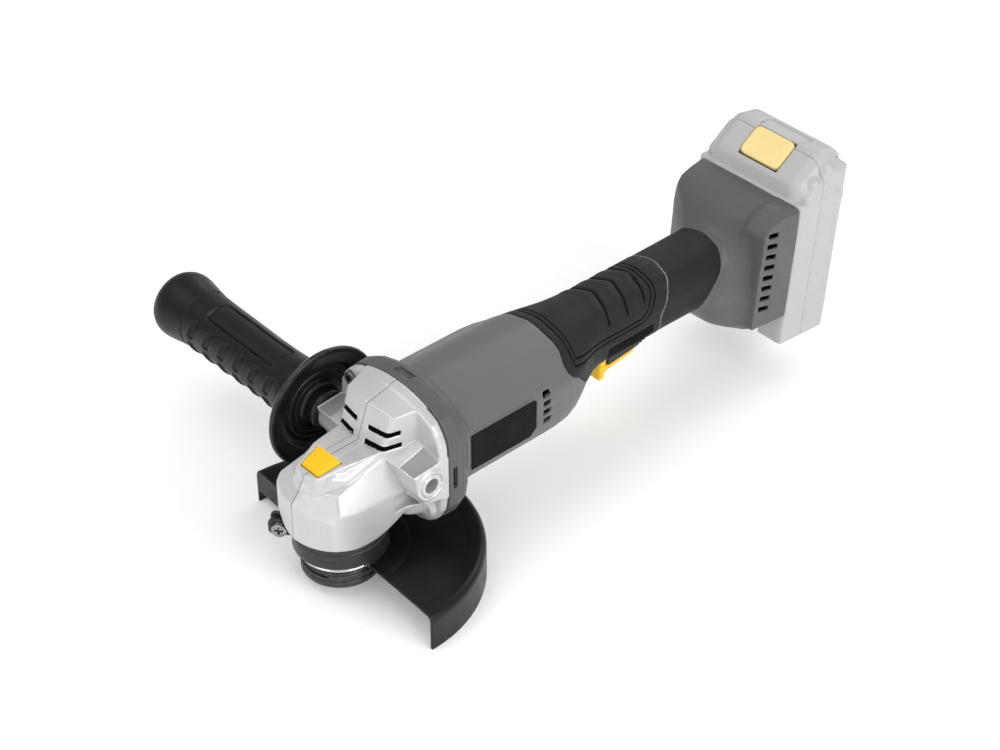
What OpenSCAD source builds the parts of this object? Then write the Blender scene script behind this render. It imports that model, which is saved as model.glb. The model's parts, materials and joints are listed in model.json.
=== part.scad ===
// Cordless angle grinder for 125 mm discs, built as an assembly.
// +Y runs from the gear head to the battery, +Z runs up along the output spindle,
// +X is the side with the rating plate. Origin: spindle axis at the disc seat.

/* [Gear head] */
// Height of the motor axis above the disc seat
motor_axis_z = 54; // [53.9:0.1:54.1]
// Half width of the gear head at its belt line
head_half_w = 23; // [22.8:0.1:23.5]
// Height of the flat top of the gear head
head_top_z = 66.5; // [66:0.1:67]
// Front of the nose, measured from the spindle
nose_y = 28.5; // [28:0.1:29]
// Y of the rear face of the gear head flange
flange_y = 39; // [38.8:0.1:39.2]

/* [Output spindle] */
// Radius of the M14 spindle thread
thread_r = 7; // [7:7]
// Radius of the spindle in the bearing and the crown gear
spindle_r = 6; // [6:6]
// Radius of the clamp nut
nut_r = 20.2; // [19:0.1:20.5]
// Thickness of the clamp nut
nut_h = 4.5; // [4:0.1:5]
// Radius of the boss that centres a disc with a 22.23 mm bore
boss_r = 11; // [11:11]
// How far the boss stands below the disc seat
boss_h = 2; // [1.5:0.1:2.2]

/* [Bevel gears] */
// Teeth on the motor pinion
pinion_teeth = 10; // [10:10]
// Teeth on the crown gear
crown_teeth = 35; // [35:35]
// Pitch radius of the crown gear at its outer edge
crown_r = 20; // [20:20]
// Share of each pitch that a tooth takes up, which leaves the backlash
tooth_share = 0.38; // [0.34:0.01:0.4]

/* [Disc guard] */
// Outer radius of the guard for 125 mm discs
guard_r = 71.9; // [70:0.1:72]
// Depth of the guard's rim
guard_depth = 21; // [18:0.5:21]
// Thickness of the guard's sheet steel
guard_t = 1.5; // [1.2:0.1:1.6]

/* [Motor] */
// Outer radius of the motor can
can_r = 21.6; // [21:0.1:21.6]
// Radius of the armature
armature_r = 17.6; // [16.5:0.1:17.7]
// Radius of the cooling fan
fan_r = 25.5; // [24:0.1:26]

/* [Body] */
// Half width of the motor housing
body_half_w = 35; // [34.5:0.1:35.5]
// Half width of the handle
grip_half_w = 19.5; // [19:0.1:20]
// Wall of the plastic housings
wall = 2.2; // [2:0.1:2.4]
// Thickness of the rubber that is moulded over the handle
rubber_t = 1.6; // [1.4:0.1:1.8]

/* [Battery] */
// Tilt of the battery rails from vertical, in degrees
rail_tilt = 4.8; // [4.8:4.8]
// Half width of the battery pack
pack_half_w = 37; // [36.5:0.1:37.2]
// Depth of the battery pack behind the foot
pack_depth = 36; // [35.8:0.1:36.4]

/* [Side handle] */
// Radius of the side handle's hand guard
hand_guard_r = 33; // [31:0.5:34]
// Radius of the M8 thread in the gear head's side bosses
socket_r = 4; // [4:4]

/* [Hidden] */
$fn = 48;
fit = 0.05;
snug = 0.01;
eps = 0.01;

// Places that several parts share
handle_y = 27.4;
handle_z = 53.2;
boss_face_x = 38.5;
neck_r = 21.8;
gear_cavity_r = 21.3;
neck_bottom_z = 7.4;
band_bottom_z = 8.2;
band_top_z = 23.4;
ear_top_z = 22.3;
ear_screw_r = 29.2;
band_r = 23.7;
cover_top_z = 23.8;
bearing_bottom_z = 14.5;
bearing_h = 10;
bearing_r = 16;
crown_seat_z = 38;
crown_face_z = 47;
lock_y = -9.5;
lock_hole_r = 2.3;
lock_pin_r = 2;
lock_travel = 3;
button_floor_z = 58;
button_bottom_z = 61.6;
top_bush_r = 6;
top_journal_r = 4;
top_bush_z = 52.8;
spindle_top_z = 57.2;
pinion_y = [13, 20.5];
shaft_r = 4;
nose_shaft_r = 2.4;
front_bearing_y = 25;
front_bearing_r = 11;
ball_bearing_w = 7;
fan_y = 41.5;
fan_w = 8.7;
fan_cavity_r = 27;
housing_y = 53;
can_y = [60, 111];
core_y = [67, 98];
commutator_y = [101, 111];
commutator_r = 8;
card_y = [112, 114.5];
rear_bearing_y = 117;
rear_bearing_r = 8;
rear_shaft_r = 3;
frame_r = 18.3;
body_screw_at = [[-25, 38.5], [25, 38.5]];
head_screw_at = concat([[-28.4, 77.4]], body_screw_at);
grip_end_y = 212.5;
sleeve_end_y = 249;
foot_y = 285;
foot_top_z = 96;
trigger_y = [172, 211];
trigger_half_w = 8.5;
lever_pin_at = [177.5, 42];
trigger_pin_at = [207.5, 46.5];
trigger_pin_r = 1.5;
lever_pin_r = 1;
handle_core_r = 12;
rail_w = 26;
rail_neck_w = 20;
rail_low = -80;
rail_high = -9;
contact_x = [-12, -4.5, 3, 10.5];
pinion_hub_r = 5;

// ---------------------------------------------------------------- helpers

// Cylinder of radius r along +Y from y0 to y1, on the motor axis
module y_rod(r, y0, y1, fn = 64) {
    translate([0, y0, motor_axis_z])
        rotate([-90, 0, 0])
            cylinder(r = r, h = y1 - y0, $fn = fn);
}

// Tube along Y on the motor axis
module y_tube(r_out, r_in, y0, y1, fn = 64) {
    difference() {
        y_rod(r_out, y0, y1, fn);
        y_rod(r_in, y0 - 1, y1 + 1, fn);
    }
}

// Tube along Z
module z_tube(r_out, r_in, z0, z1, fn = 64) {
    translate([0, 0, z0])
        difference() {
            cylinder(r = r_out, h = z1 - z0, $fn = fn);
            translate([0, 0, -1])
                cylinder(r = r_in, h = z1 - z0 + 2, $fn = fn);
        }
}

// Copies the children to both sides of the YZ plane
module both_sides() {
    children();
    mirror([1, 0, 0]) children();
}

// Cross-recessed screw along +Z, with its head's underside at the origin
module screw(r, length, head_r, head_h) {
    difference() {
        union() {
            cylinder(r = head_r, h = head_h, $fn = 24);
            translate([0, 0, -length])
                cylinder(r = r, h = length + eps, $fn = 24);
        }
        translate([-head_r * 0.6, -head_r * 0.15, head_h * 0.5])
            cube([head_r * 1.2, head_r * 0.3, head_h]);
        translate([-head_r * 0.15, -head_r * 0.6, head_h * 0.5])
            cube([head_r * 0.3, head_r * 1.2, head_h]);
    }
}

// Helical spring along +Z as stacked rings
module spring(r, wire, length, turns) {
    for (i = [0 : turns - 1])
        translate([0, 0, wire + i * (length - 2 * wire) / (turns - 1)])
            rotate_extrude($fn = 32)
                translate([r, 0])
                    circle(r = wire, $fn = 13);
}

// Corner arc in an outline: points from angle a0 to a1
function arc(cx, cz, r, a0, a1, n) =
    [for (i = [0 : n]) let (a = a0 + (a1 - a0) * i / n) [cx + r * cos(a), cz + r * sin(a)]];

// Right half of a body section, from the top centre round to the bottom centre.
// s = [y, half width, top, bottom, shoulder x, shoulder z]
function half_section(s, inset) =
    let (w = s[1] - inset,
         top = s[2] - inset,
         low = s[3] + inset,
         sx = s[4] - inset * 0.4,
         sz = s[5] - inset,
         r = min(w * 0.63, (top - low) * 0.45),
         side_z = sz - (w - sx) * 0.55)
    concat([[0, top], [sx * 0.5, top - (top - sz) * 0.22], [sx, sz], [w - 1.2, side_z + 0.6], [w, side_z - 1.2]],
           arc(w - r, low + r, r, 0, -90, 6),
           [[0, low]]);

// Whole section as a closed loop in the XZ plane at the section's y
function section(s, inset) =
    let (h = half_section(s, inset), n = len(h))
    concat([for (p = h) [p[0], s[0], p[1]]],
           [for (i = [n - 2 : -1 : 1]) [-h[i][0], s[0], h[i][1]]]);

// Solid lofted through a list of sections
module loft(sections, inset) {
    loops = [for (s = sections) section(s, inset)];
    n = len(loops[0]);
    last = len(loops) - 1;
    polyhedron(
        points = [for (l = loops) for (p = l) p],
        faces = concat(
            [[for (i = [0 : n - 1]) i]],
            [for (k = [0 : last - 1]) for (i = [0 : n - 1]) let (j = (i + 1) % n)
                [k * n + i, (k + 1) * n + i, (k + 1) * n + j, k * n + j]],
            [[for (i = [n - 1 : -1 : 0]) last * n + i]]),
        convexity = 6);
}

// Sections of the motor housing and handle
body_sections = [
    [housing_y, body_half_w, 83, 28.4, 22, 75],
    [60, body_half_w, 82, 29.2, 22, 75],
    [112, body_half_w, 81.2, 29.2, 22, 75],
    [122, body_half_w - 1, 80.8, 29.8, 21, 74.8],
    [130, body_half_w - 3.5, 80.4, 31.2, 19.5, 74.6],
    [138, body_half_w - 7, 80, 34, 18, 74.4],
    [145, body_half_w - 10.7, 79.7, 37.8, 16.5, 74.3],
    [151, grip_half_w + 1.8, 79.5, 41, 15.5, 74.2],
    [158, grip_half_w + 0.3, 79.3, 42.8, 14.8, 74.1],
    [166, grip_half_w, 79.1, 43, 14.5, 74],
    [grip_end_y, grip_half_w, 79, 43, 14.5, 74]
];

// The same, but past the end of the handle, so that a cut leaves it open
open_body_sections = [for (s = body_sections) s[0] < grip_end_y ? s : [s[0] + 1, s[1], s[2], s[3], s[4], s[5]]];

// Sections of the rear sleeve, neck and battery foot
neck_sections = [
    [grip_end_y + 0.5, grip_half_w, 79, 43, 14.5, 74],
    [sleeve_end_y, grip_half_w + 0.5, 79.5, 42.5, 14.7, 74.4]
];
foot_sections = [
    [sleeve_end_y + 0.2, grip_half_w + 0.5, 79.5, 42.5, 14.7, 74.4],
    [254, grip_half_w + 2.5, 81.5, 40, 17, 76],
    [259, grip_half_w + 8, 87, 34.5, 23, 81],
    [264, body_half_w - 1, 92, 29.5, 28, 87],
    [268, body_half_w + 1, 94.5, 27, 30, 91],
    [foot_y + 1, body_half_w + 2, 96.5, 26, 31, 93.5]
];

// Side view of the space that the rubber grip takes up, as [y, z]
grip_side = [[126.6, 95], [126.6, 74], [124.4, 70], [124, 67], [126, 64.4], [131, 61], [136, 55.5], [142, 49],
             [148, 45.5], [166, 47.5], [166, 30], [grip_end_y, 30], [grip_end_y, 95]];

module side_prism(points) {
    rotate([90, 0, 90])
        translate([0, 0, -50])
            linear_extrude(100)
                polygon(points);
}

// Slot under the handle that the trigger moves in
module trigger_slot() {
    translate([-trigger_half_w - 0.5, trigger_y[0] - 7.5, 25])
        cube([2 * trigger_half_w + 1, trigger_y[1] - trigger_y[0] + 9.5, 30]);
}

// Places children in the frame of the battery rails: origin on the foot's top
// rear edge, Z up along the rails
module on_rails() {
    translate([0, foot_y, foot_top_z])
        rotate([-rail_tilt, 0, 0])
            children();
}

// ---------------------------------------------------------------- gear head

module head_slab(points, z, h = 0.6) {
    translate([0, 0, z])
        linear_extrude(h)
            polygon(concat(points, [for (i = [len(points) - 1 : -1 : 0]) [-points[i][0], points[i][1]]]));
}

// Outline of the flange and the baffle ring, right half, as [x, z]
flange_half = [[0, 90], [17.2, 87.7], [29, 83.5], [35, 77.5], [38, 69.6], [38, 38], [36, 29], [31, 21.5],
               [24, 17.5], [0, 17]];

module flange_plate(y0, y1) {
    translate([0, y1, 0])
        rotate([90, 0, 0])
            linear_extrude(y1 - y0)
                polygon(concat(flange_half,
                               [for (i = [len(flange_half) - 2 : -1 : 1]) [-flange_half[i][0], flange_half[i][1]]]));
}

module button_outline(grow) {
    polygon([[-8.7 - grow, -3.5 + grow], [8.7 + grow, -3.5 + grow],
             [6.3 + grow, -15.8 - grow], [-6.3 - grow, -15.8 - grow]]);
}

// Sloping roof that trims the button to the head's top
module button_roof() {
    rotate([90, 0, 90])
        translate([0, 0, -15])
            linear_extrude(30)
                polygon([[-25, 40], [0, 40], [0, 68.6], [-3.5, 68], [-16.5, 65], [-25, 62]]);
}

module head_outside() {
    // Nose, from the bottom ring up to the belt line
    hull() {
        translate([0, 0, 24])
            cylinder(r = 23.4, h = 1, $fn = 64);
        head_slab([[0, -nose_y], [17, -nose_y + 2], [head_half_w - 1, -20], [head_half_w, -14],
                   [head_half_w, 24]], 34);
        head_slab([[0, -nose_y + 0.6], [16.5, -nose_y + 2], [head_half_w - 1.5, -20], [head_half_w, -13],
                   [head_half_w, 24]], 47);
    }
    // Faceted roof above the belt line
    hull() {
        head_slab([[0, -nose_y + 0.6], [16.5, -nose_y + 2], [head_half_w - 1.5, -20], [head_half_w, -13],
                   [head_half_w, 24]], 47);
        head_slab([[0, -23.5], [12, -22], [15.5, -15], [16, 0], [16, 30]], 60.5);
        head_slab([[0, -4], [15.5, -4], [16, 30]], head_top_z - 0.6);
    }
    // Body that widens towards the flange
    hull() {
        translate([-head_half_w, 8, 25])
            cube([2 * head_half_w, 1, 34]);
        translate([0, 36, 0])
            intersection() {
                translate([-36, 0, 25])
                    cube([72, 1, 53]);
                translate([0, -36, 0])
                    flange_plate(36, 37);
            }
    }
    // Raised dome over the fan
    hull() {
        translate([-16.5, 23, 84])
            cube([33, 14, 2.2]);
        translate([-22, 19.5, 66])
            cube([44, 17.5, 1]);
        translate([-20, 36, 86])
            cube([40, 1, 2]);
    }
    flange_plate(flange_y - 3.5, flange_y);
    // Bosses for the side handle
    both_sides()
        translate([boss_face_x, handle_y, handle_z])
            rotate([0, -90, 0])
                cylinder(r = 8.2, h = 18, $fn = 48);
}

module gear_housing() {
    color([0.78, 0.79, 0.8])
    difference() {
        head_outside();
        // Gear cavity, open to the bearing cover below
        translate([0, 0, 22])
            cylinder(r = gear_cavity_r, h = 30.6, $fn = 96);
        // Tunnel for the pinion
        y_rod(8, 9.5, 25.5);
        // Seat of the front bearing
        y_rod(front_bearing_r + snug, front_bearing_y - 0.5, front_bearing_y + ball_bearing_w + 0.5);
        // Fan cavity
        y_rod(fan_cavity_r, front_bearing_y + ball_bearing_w + 0.5, flange_y + 1, 96);
        // Pocket of the top bush
        translate([0, 0, 52])
            cylinder(r = top_bush_r + snug, h = spindle_top_z - 51.7, $fn = 48);
        // Spindle lock: pin bore and button well
        translate([0, lock_y, 50])
            cylinder(r = lock_pin_r + fit, h = 12, $fn = 32);
        translate([0, 0, button_floor_z])
            linear_extrude(20)
                button_outline(0.35);
        // Threaded sockets for the side handle
        both_sides() {
            translate([boss_face_x + 1, handle_y, handle_z])
                rotate([0, -90, 0])
                    cylinder(r = socket_r, h = 13, $fn = 48);
            translate([boss_face_x - 0.8, handle_y, handle_z])
                rotate([0, 90, 0])
                    cylinder(r1 = socket_r, r2 = socket_r + 1, h = 1, $fn = 48);
        }
        // Clearance holes and pockets for the head screws
        for (p = head_screw_at) {
            translate([p[0], 20, p[1]])
                rotate([-90, 0, 0])
                    cylinder(r = 2.2, h = 22, $fn = 24);
            translate([p[0], 10, p[1]])
                rotate([-90, 0, 0])
                    cylinder(r = 4, h = flange_y - 4 - 10, $fn = 24);
        }
        // Air slots in the dome's front
        both_sides()
            for (z = [71.5, 77.5])
                translate([4.5, 14, z])
                    cube([20, 14, 2.2]);
    }
}

module bearing_cover() {
    color([0.72, 0.73, 0.74])
    difference() {
        union() {
            translate([0, 0, neck_bottom_z])
                cylinder(r = neck_r, h = cover_top_z - neck_bottom_z, $fn = 96);
            // Spigot that screws into the gear housing
            translate([0, 0, cover_top_z - 1])
                cylinder(r = gear_cavity_r - fit, h = 4, $fn = 96);
        }
        translate([0, 0, 5])
            cylinder(r = 11.5, h = 30, $fn = 64);
        translate([0, 0, bearing_bottom_z])
            cylinder(r = bearing_r + snug, h = 20, $fn = 96);
    }
}

module head_screws() {
    color("dimgray")
    for (p = head_screw_at)
        translate([p[0], flange_y - 4.1, p[1]])
            rotate([90, 0, 0])
                screw(1.9, p[1] > motor_axis_z ? 16 : 32, 3.4, 3.2);
}

module spindle_seal() {
    color([0.12, 0.12, 0.13])
    z_tube(11.45, 9.15, neck_bottom_z + 0.6, 12.4);
}

module spindle_bearing_outer() {
    color("silver")
    difference() {
        z_tube(bearing_r, 13.6, bearing_bottom_z + snug, bearing_bottom_z + bearing_h, 96);
        translate([0, 0, bearing_bottom_z + bearing_h / 2])
            rotate_extrude($fn = 96)
                translate([11.2, 0])
                    circle(r = 3.1, $fn = 24);
    }
}

// Inner ring with the balls that roll on it
module spindle_bearing_inner() {
    color("silver") {
        difference() {
            z_tube(8.7, spindle_r + snug, bearing_bottom_z + snug, bearing_bottom_z + bearing_h, 96);
            translate([0, 0, bearing_bottom_z + bearing_h / 2])
                rotate_extrude($fn = 96)
                    translate([11.2, 0])
                        circle(r = 3.1, $fn = 24);
        }
        for (a = [0 : 40 : 320])
            rotate([0, 0, a])
                translate([11.2, 0, bearing_bottom_z + bearing_h / 2])
                    sphere(r = 3, $fn = 24);
    }
}

module top_bush() {
    color([0.72, 0.55, 0.3])
    z_tube(top_bush_r, top_journal_r + 0.03, top_bush_z, spindle_top_z);
}

module spindle() {
    color([0.6, 0.6, 0.62])
    union() {
        translate([0, 0, -10])
            cylinder(r = thread_r, h = 17, $fn = 64);
        translate([0, 0, 6.7])
            cylinder(r = 9, h = bearing_bottom_z - 6.7, $fn = 64);
        translate([0, 0, bearing_bottom_z - 1])
            cylinder(r = spindle_r, h = crown_face_z + 1.4 - bearing_bottom_z + 1, $fn = 64);
        translate([0, 0, 48])
            cylinder(r = top_journal_r, h = spindle_top_z - 48.3, $fn = 48);
        // Spacer collar between the bearing and the crown gear
        translate([0, 0, bearing_bottom_z + bearing_h + 0.1])
            cylinder(r = 8.2, h = crown_seat_z - bearing_bottom_z - bearing_h - 0.2, $fn = 64);
    }
}

// Star outline of a bevel gear's teeth at a plane where its pitch radius is r
module gear_star(teeth, r, tip, root, turn) {
    pitch = 360 / teeth;
    half_root = pitch * tooth_share * 0.72;
    half_tip = pitch * tooth_share * 0.3;
    polygon([for (i = [0 : teeth - 1]) let (a = i * pitch + turn)
        for (q = [[-half_root, root], [-half_tip, tip], [half_tip, tip], [half_root, root]])
            [r * q[1] * cos(a + q[0]), r * q[1] * sin(a + q[0])]]);
}

module crown_gear() {
    low_z = 44;
    high_z = 51.2;
    ratio = crown_teeth / pinion_teeth;
    low_r = (motor_axis_z - low_z) * ratio;
    high_r = (motor_axis_z - high_z) * ratio;
    color([0.5, 0.5, 0.52])
    difference() {
        union() {
            intersection() {
                translate([0, 0, low_z])
                    linear_extrude(high_z - low_z, scale = high_r / low_r)
                        gear_star(crown_teeth, low_r, 1.13, 0.8, 90 + 180 / crown_teeth);
                translate([0, 0, low_z - 1])
                    cylinder(r = crown_r + 0.6, h = 10, $fn = 96);
            }
            translate([0, 0, crown_seat_z])
                cylinder(r1 = 12, r2 = crown_r + 0.6, h = 6.6, $fn = 96);
        }
        translate([0, 0, crown_seat_z - 1])
            cylinder(r = spindle_r + snug, h = 20, $fn = 64);
        translate([0, 0, crown_face_z])
            cylinder(r = 12.6, h = 10, $fn = 64);
        for (a = [0 : 90 : 270])
            rotate([0, 0, a])
                translate([0, lock_y, crown_face_z - 3])
                    cylinder(r = lock_hole_r, h = 5, $fn = 32);
    }
}

module gear_clip() {
    color("dimgray")
    z_tube(7.1, spindle_r + snug, crown_face_z + 0.05, crown_face_z + 1.1, 48);
}

module inner_flange() {
    color([0.2, 0.2, 0.21])
    difference() {
        union() {
            cylinder(r = nut_r - 0.2, h = 5.4, $fn = 96);
            translate([0, 0, -boss_h])
                cylinder(r = boss_r, h = boss_h + 7, $fn = 96);
        }
        translate([0, 0, -5])
            cylinder(r = thread_r + snug, h = 11.7, $fn = 64);
        translate([0, 0, 6.6])
            cylinder(r = 9.02, h = 5, $fn = 64);
    }
}

module clamp_nut() {
    color([0.22, 0.22, 0.23])
    difference() {
        union() {
            translate([0, 0, -nut_h])
                cylinder(r = nut_r, h = nut_h - 1, $fn = 96);
            translate([0, 0, -1 - eps])
                cylinder(r1 = nut_r, r2 = nut_r - 1, h = 1 - 0.05, $fn = 96);
        }
        translate([0, 0, -nut_h - 1])
            cylinder(r = thread_r + fit, h = nut_h + 2, $fn = 64);
        translate([0, 0, -boss_h - 0.3])
            cylinder(r = boss_r + 1.5, h = 5, $fn = 96);
        // Holes for the pin spanner
        for (a = [45 : 90 : 315])
            rotate([0, 0, a])
                translate([15, 0, -nut_h - 1])
                    cylinder(r = 2.5, h = 4, $fn = 24);
    }
}

// ---------------------------------------------------------------- spindle lock

module spindle_lock_button() {
    color([1, 0.78, 0.08])
    difference() {
        intersection() {
            translate([0, 0, button_bottom_z])
                linear_extrude(10)
                    button_outline(0);
            button_roof();
        }
        translate([0, lock_y, button_bottom_z - 1])
            cylinder(r = lock_pin_r + snug, h = 3.6, $fn = 32);
    }
}

module lock_pin() {
    color("silver")
    translate([0, lock_y, crown_face_z + 1.8])
        cylinder(r = lock_pin_r, h = button_bottom_z + 2.5 - crown_face_z - 1.8, $fn = 32);
}

module lock_spring() {
    color("silver")
    translate([0, lock_y, button_floor_z + 0.05])
        spring(3.1, 0.4, button_bottom_z - button_floor_z - 0.1, 3);
}

// ---------------------------------------------------------------- guard

guard_near_a = -2.2;
guard_far_a = 178;
ear_a = 219.6;

module guard_plan(r) {
    difference() {
        circle(r = r, $fn = 180);
        polygon([[r * 2 * cos(guard_near_a), r * 2 * sin(guard_near_a)], [22, 3.6], [0, 0], [-22, 3],
                 [r * 2 * cos(guard_far_a), r * 2 * sin(guard_far_a)], [-r * 2, -r * 2], [r * 2, -r * 2]]);
    }
}

module guard_shell() {
    color([0.09, 0.09, 0.1])
    translate([0, 0, band_bottom_z + guard_t - guard_depth])
        difference() {
            linear_extrude(guard_depth)
                guard_plan(guard_r);
            translate([0, 0, -1])
                linear_extrude(guard_depth - guard_t + 1)
                    circle(r = guard_r - guard_t, $fn = 180);
            translate([0, 0, -1])
                cylinder(r = band_r + 0.05, h = guard_depth + 2, $fn = 96);
        }
    // Folded end that closes the guard's far corner
    color([0.09, 0.09, 0.1])
    rotate([0, 0, guard_far_a])
        translate([36, -guard_t, band_bottom_z - 13])
            cube([guard_r - guard_t - 36.2, guard_t, 13.1]);
}

module guard_band() {
    color([0.24, 0.24, 0.25])
    difference() {
        union() {
            translate([0, 0, band_bottom_z])
                cylinder(r = band_r, h = band_top_z - band_bottom_z, $fn = 96);
            // Clamp ears
            rotate([0, 0, ear_a])
                for (side = [-1, 1])
                    translate([neck_r - 3, side * 2.7 - 0.9, ear_top_z - 9.5])
                        cube([16.4, 1.8, 9.5]);
        }
        translate([0, 0, band_bottom_z - 1])
            cylinder(r = neck_r + 0.1, h = 20, $fn = 96);
        // Split between the ears
        rotate([0, 0, ear_a])
            translate([10, -1.5, band_bottom_z - 1])
                cube([20, 3, 20]);
        rotate([0, 0, ear_a])
            translate([ear_screw_r, 0, ear_top_z - 4.7])
                rotate([90, 0, 0])
                    cylinder(r = 2.1, h = 20, center = true, $fn = 32);
    }
}

module guard_screw() {
    color("dimgray")
    rotate([0, 0, ear_a])
        translate([ear_screw_r, 3.65, ear_top_z - 4.7])
            rotate([-90, 0, 0])
                screw(2, 12, 3.9, 2.6);
}

module guard_screw_nut() {
    color("dimgray")
    rotate([0, 0, ear_a])
        translate([ear_screw_r, -3.65, ear_top_z - 4.7])
            rotate([90, 0, 0])
                difference() {
                    cylinder(r = 4, h = 3, $fn = 6);
                    translate([0, 0, -1])
                        cylinder(r = 2 + snug, h = 5, $fn = 32);
                }
}

// ---------------------------------------------------------------- motor

module bearing_ring_pair(y, r_out, r_in, outer) {
    mid = (r_out + r_in) / 2;
    difference() {
        if (outer)
            y_tube(r_out, mid + 1, y, y + ball_bearing_w);
        else
            y_tube(mid - 1, r_in, y, y + ball_bearing_w);
        translate([0, y + ball_bearing_w / 2, motor_axis_z])
            rotate([90, 0, 0])
                rotate_extrude($fn = 64)
                    translate([mid, 0])
                        circle(r = 1.8, $fn = 24);
    }
}

module bearing_balls(y, r_out, r_in) {
    mid = (r_out + r_in) / 2;
    for (a = [0 : 45 : 315])
        translate([0, y + ball_bearing_w / 2, motor_axis_z])
            rotate([0, a, 0])
                translate([mid, 0, 0])
                    sphere(r = 1.75, $fn = 20);
}

module front_bearing_outer() {
    color("silver") bearing_ring_pair(front_bearing_y, front_bearing_r, shaft_r + snug, true);
}

module front_bearing_inner() {
    color("silver") {
        bearing_ring_pair(front_bearing_y, front_bearing_r, shaft_r + snug, false);
        bearing_balls(front_bearing_y, front_bearing_r, shaft_r + snug);
    }
}

module motor_shaft() {
    color([0.65, 0.65, 0.67])
    union() {
        y_rod(nose_shaft_r, pinion_y[0], 26, 48);
        y_rod(shaft_r, 24.3, rear_bearing_y - 1);
        y_rod(rear_shaft_r, rear_bearing_y - 2, rear_bearing_y + ball_bearing_w + 1, 48);
    }
}

module pinion() {
    color([0.5, 0.5, 0.52])
    difference() {
        union() {
            translate([0, pinion_y[1], motor_axis_z])
                rotate([90, 0, 0])
                    linear_extrude(pinion_y[1] - pinion_y[0], scale = pinion_y[0] / pinion_y[1])
                        gear_star(pinion_teeth, pinion_y[1] * pinion_teeth / crown_teeth, 1.16, 0.8, -90);
            y_rod(pinion_hub_r, pinion_y[1] - 0.2, 24.2, 48);
        }
        y_rod(nose_shaft_r + snug, 10, 26, 48);
    }
}

module fan() {
    color([0.15, 0.15, 0.16])
    difference() {
        union() {
            y_rod(fan_r, fan_y, fan_y + 1.8, 96);
            y_rod(8, fan_y, fan_y + fan_w, 48);
            for (i = [0 : 12])
                translate([0, fan_y + 1.7, motor_axis_z])
                    rotate([0, i * 360 / 13, 0])
                        translate([12, 0, 0])
                            rotate([0, 28, 0])
                                cube([13.2, fan_w - 1.7, 1.4]);
        }
        y_rod(shaft_r + snug, fan_y - 1, fan_y + fan_w + 1);
    }
}

module armature_core() {
    color([0.45, 0.45, 0.47])
    difference() {
        y_rod(armature_r, core_y[0], core_y[1], 96);
        y_rod(shaft_r + snug, core_y[0] - 1, core_y[1] + 1);
        for (i = [0 : 11])
            translate([0, core_y[0] - 1, motor_axis_z])
                rotate([0, i * 30, 0])
                    translate([armature_r - 1.5, 0, -0.8])
                        cube([3, core_y[1] - core_y[0] + 2, 1.6]);
    }
}

// Copper end turns at both ends of the core
module armature_windings() {
    color([0.72, 0.38, 0.18])
    for (y = [core_y[0] - 4.1, core_y[1] + 0.05])
        translate([0, y + 2, motor_axis_z])
            rotate([90, 0, 0])
                rotate_extrude($fn = 64)
                    translate([9.5, 0])
                        square([10, 3.9], center = true);
}

module commutator() {
    color([0.7, 0.42, 0.25])
    difference() {
        y_rod(commutator_r, commutator_y[0] + 1.2, commutator_y[1], 64);
        y_rod(shaft_r + snug, 95, commutator_y[1] + 1);
        for (i = [0 : 11])
            translate([0, commutator_y[0], motor_axis_z])
                rotate([0, i * 30 + 15, 0])
                    translate([commutator_r - 0.7, 0, -0.2])
                        cube([2, 12, 0.4]);
    }
}

module motor_can() {
    color([0.55, 0.56, 0.58])
    difference() {
        y_rod(can_r, can_y[0], can_y[1], 96);
        y_rod(can_r - 1.6, can_y[0] + 1.6, can_y[1] + 1, 96);
        y_rod(9, can_y[0] - 1, can_y[1], 64);
        // Air holes in the front face
        for (a = [0 : 60 : 300])
            translate([0, can_y[0] - 1, motor_axis_z])
                rotate([0, a, 0])
                    translate([14.5, 0, 0])
                        rotate([-90, 0, 0])
                            cylinder(r = 3, h = 4, $fn = 24);
    }
}

module magnets() {
    color([0.25, 0.25, 0.27])
    intersection() {
        y_tube(can_r - 1.65, armature_r + 0.4, core_y[0] - 2, core_y[1] + 2, 96);
        translate([0, 0, motor_axis_z])
            both_sides()
                rotate([-90, 0, 0])
                    linear_extrude(150)
                        polygon([[0, 0], [40, 30], [40, -30]]);
    }
}

module brush_card() {
    color([0.35, 0.2, 0.12])
    difference() {
        y_tube(frame_r, 9.5, card_y[0], card_y[1], 96);
        both_sides()
            translate([8, card_y[0] - 1, motor_axis_z + 12])
                rotate([-90, 0, 0])
                    cylinder(r = 2, h = 5, $fn = 24);
    }
}

module brush_holders() {
    color([0.75, 0.6, 0.3])
    both_sides()
        difference() {
            translate([9, commutator_y[0] + 2, motor_axis_z - 3.6])
                cube([10.3, 8.95, 7.2]);
            translate([8, commutator_y[0] + 3, motor_axis_z - 2.6])
                cube([12, 6.5, 5.2]);
        }
}

module brushes() {
    color([0.18, 0.18, 0.19])
    both_sides()
        translate([commutator_r + 0.06, commutator_y[0] + 3.1, motor_axis_z - 2.5])
            cube([7, 6.3, 5]);
}

module brush_springs() {
    color("silver")
    both_sides()
        translate([commutator_r + 7.15, commutator_y[0] + 6.2, motor_axis_z])
            rotate([0, 90, 0])
                spring(1.8, 0.3, 4.1, 4);
}

module rear_bearing_outer() {
    color("silver") bearing_ring_pair(rear_bearing_y, rear_bearing_r, rear_shaft_r + snug, true);
}

module rear_bearing_inner() {
    color("silver") {
        bearing_ring_pair(rear_bearing_y, rear_bearing_r, rear_shaft_r + snug, false);
        bearing_balls(rear_bearing_y, rear_bearing_r, rear_shaft_r + snug);
    }
}

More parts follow.
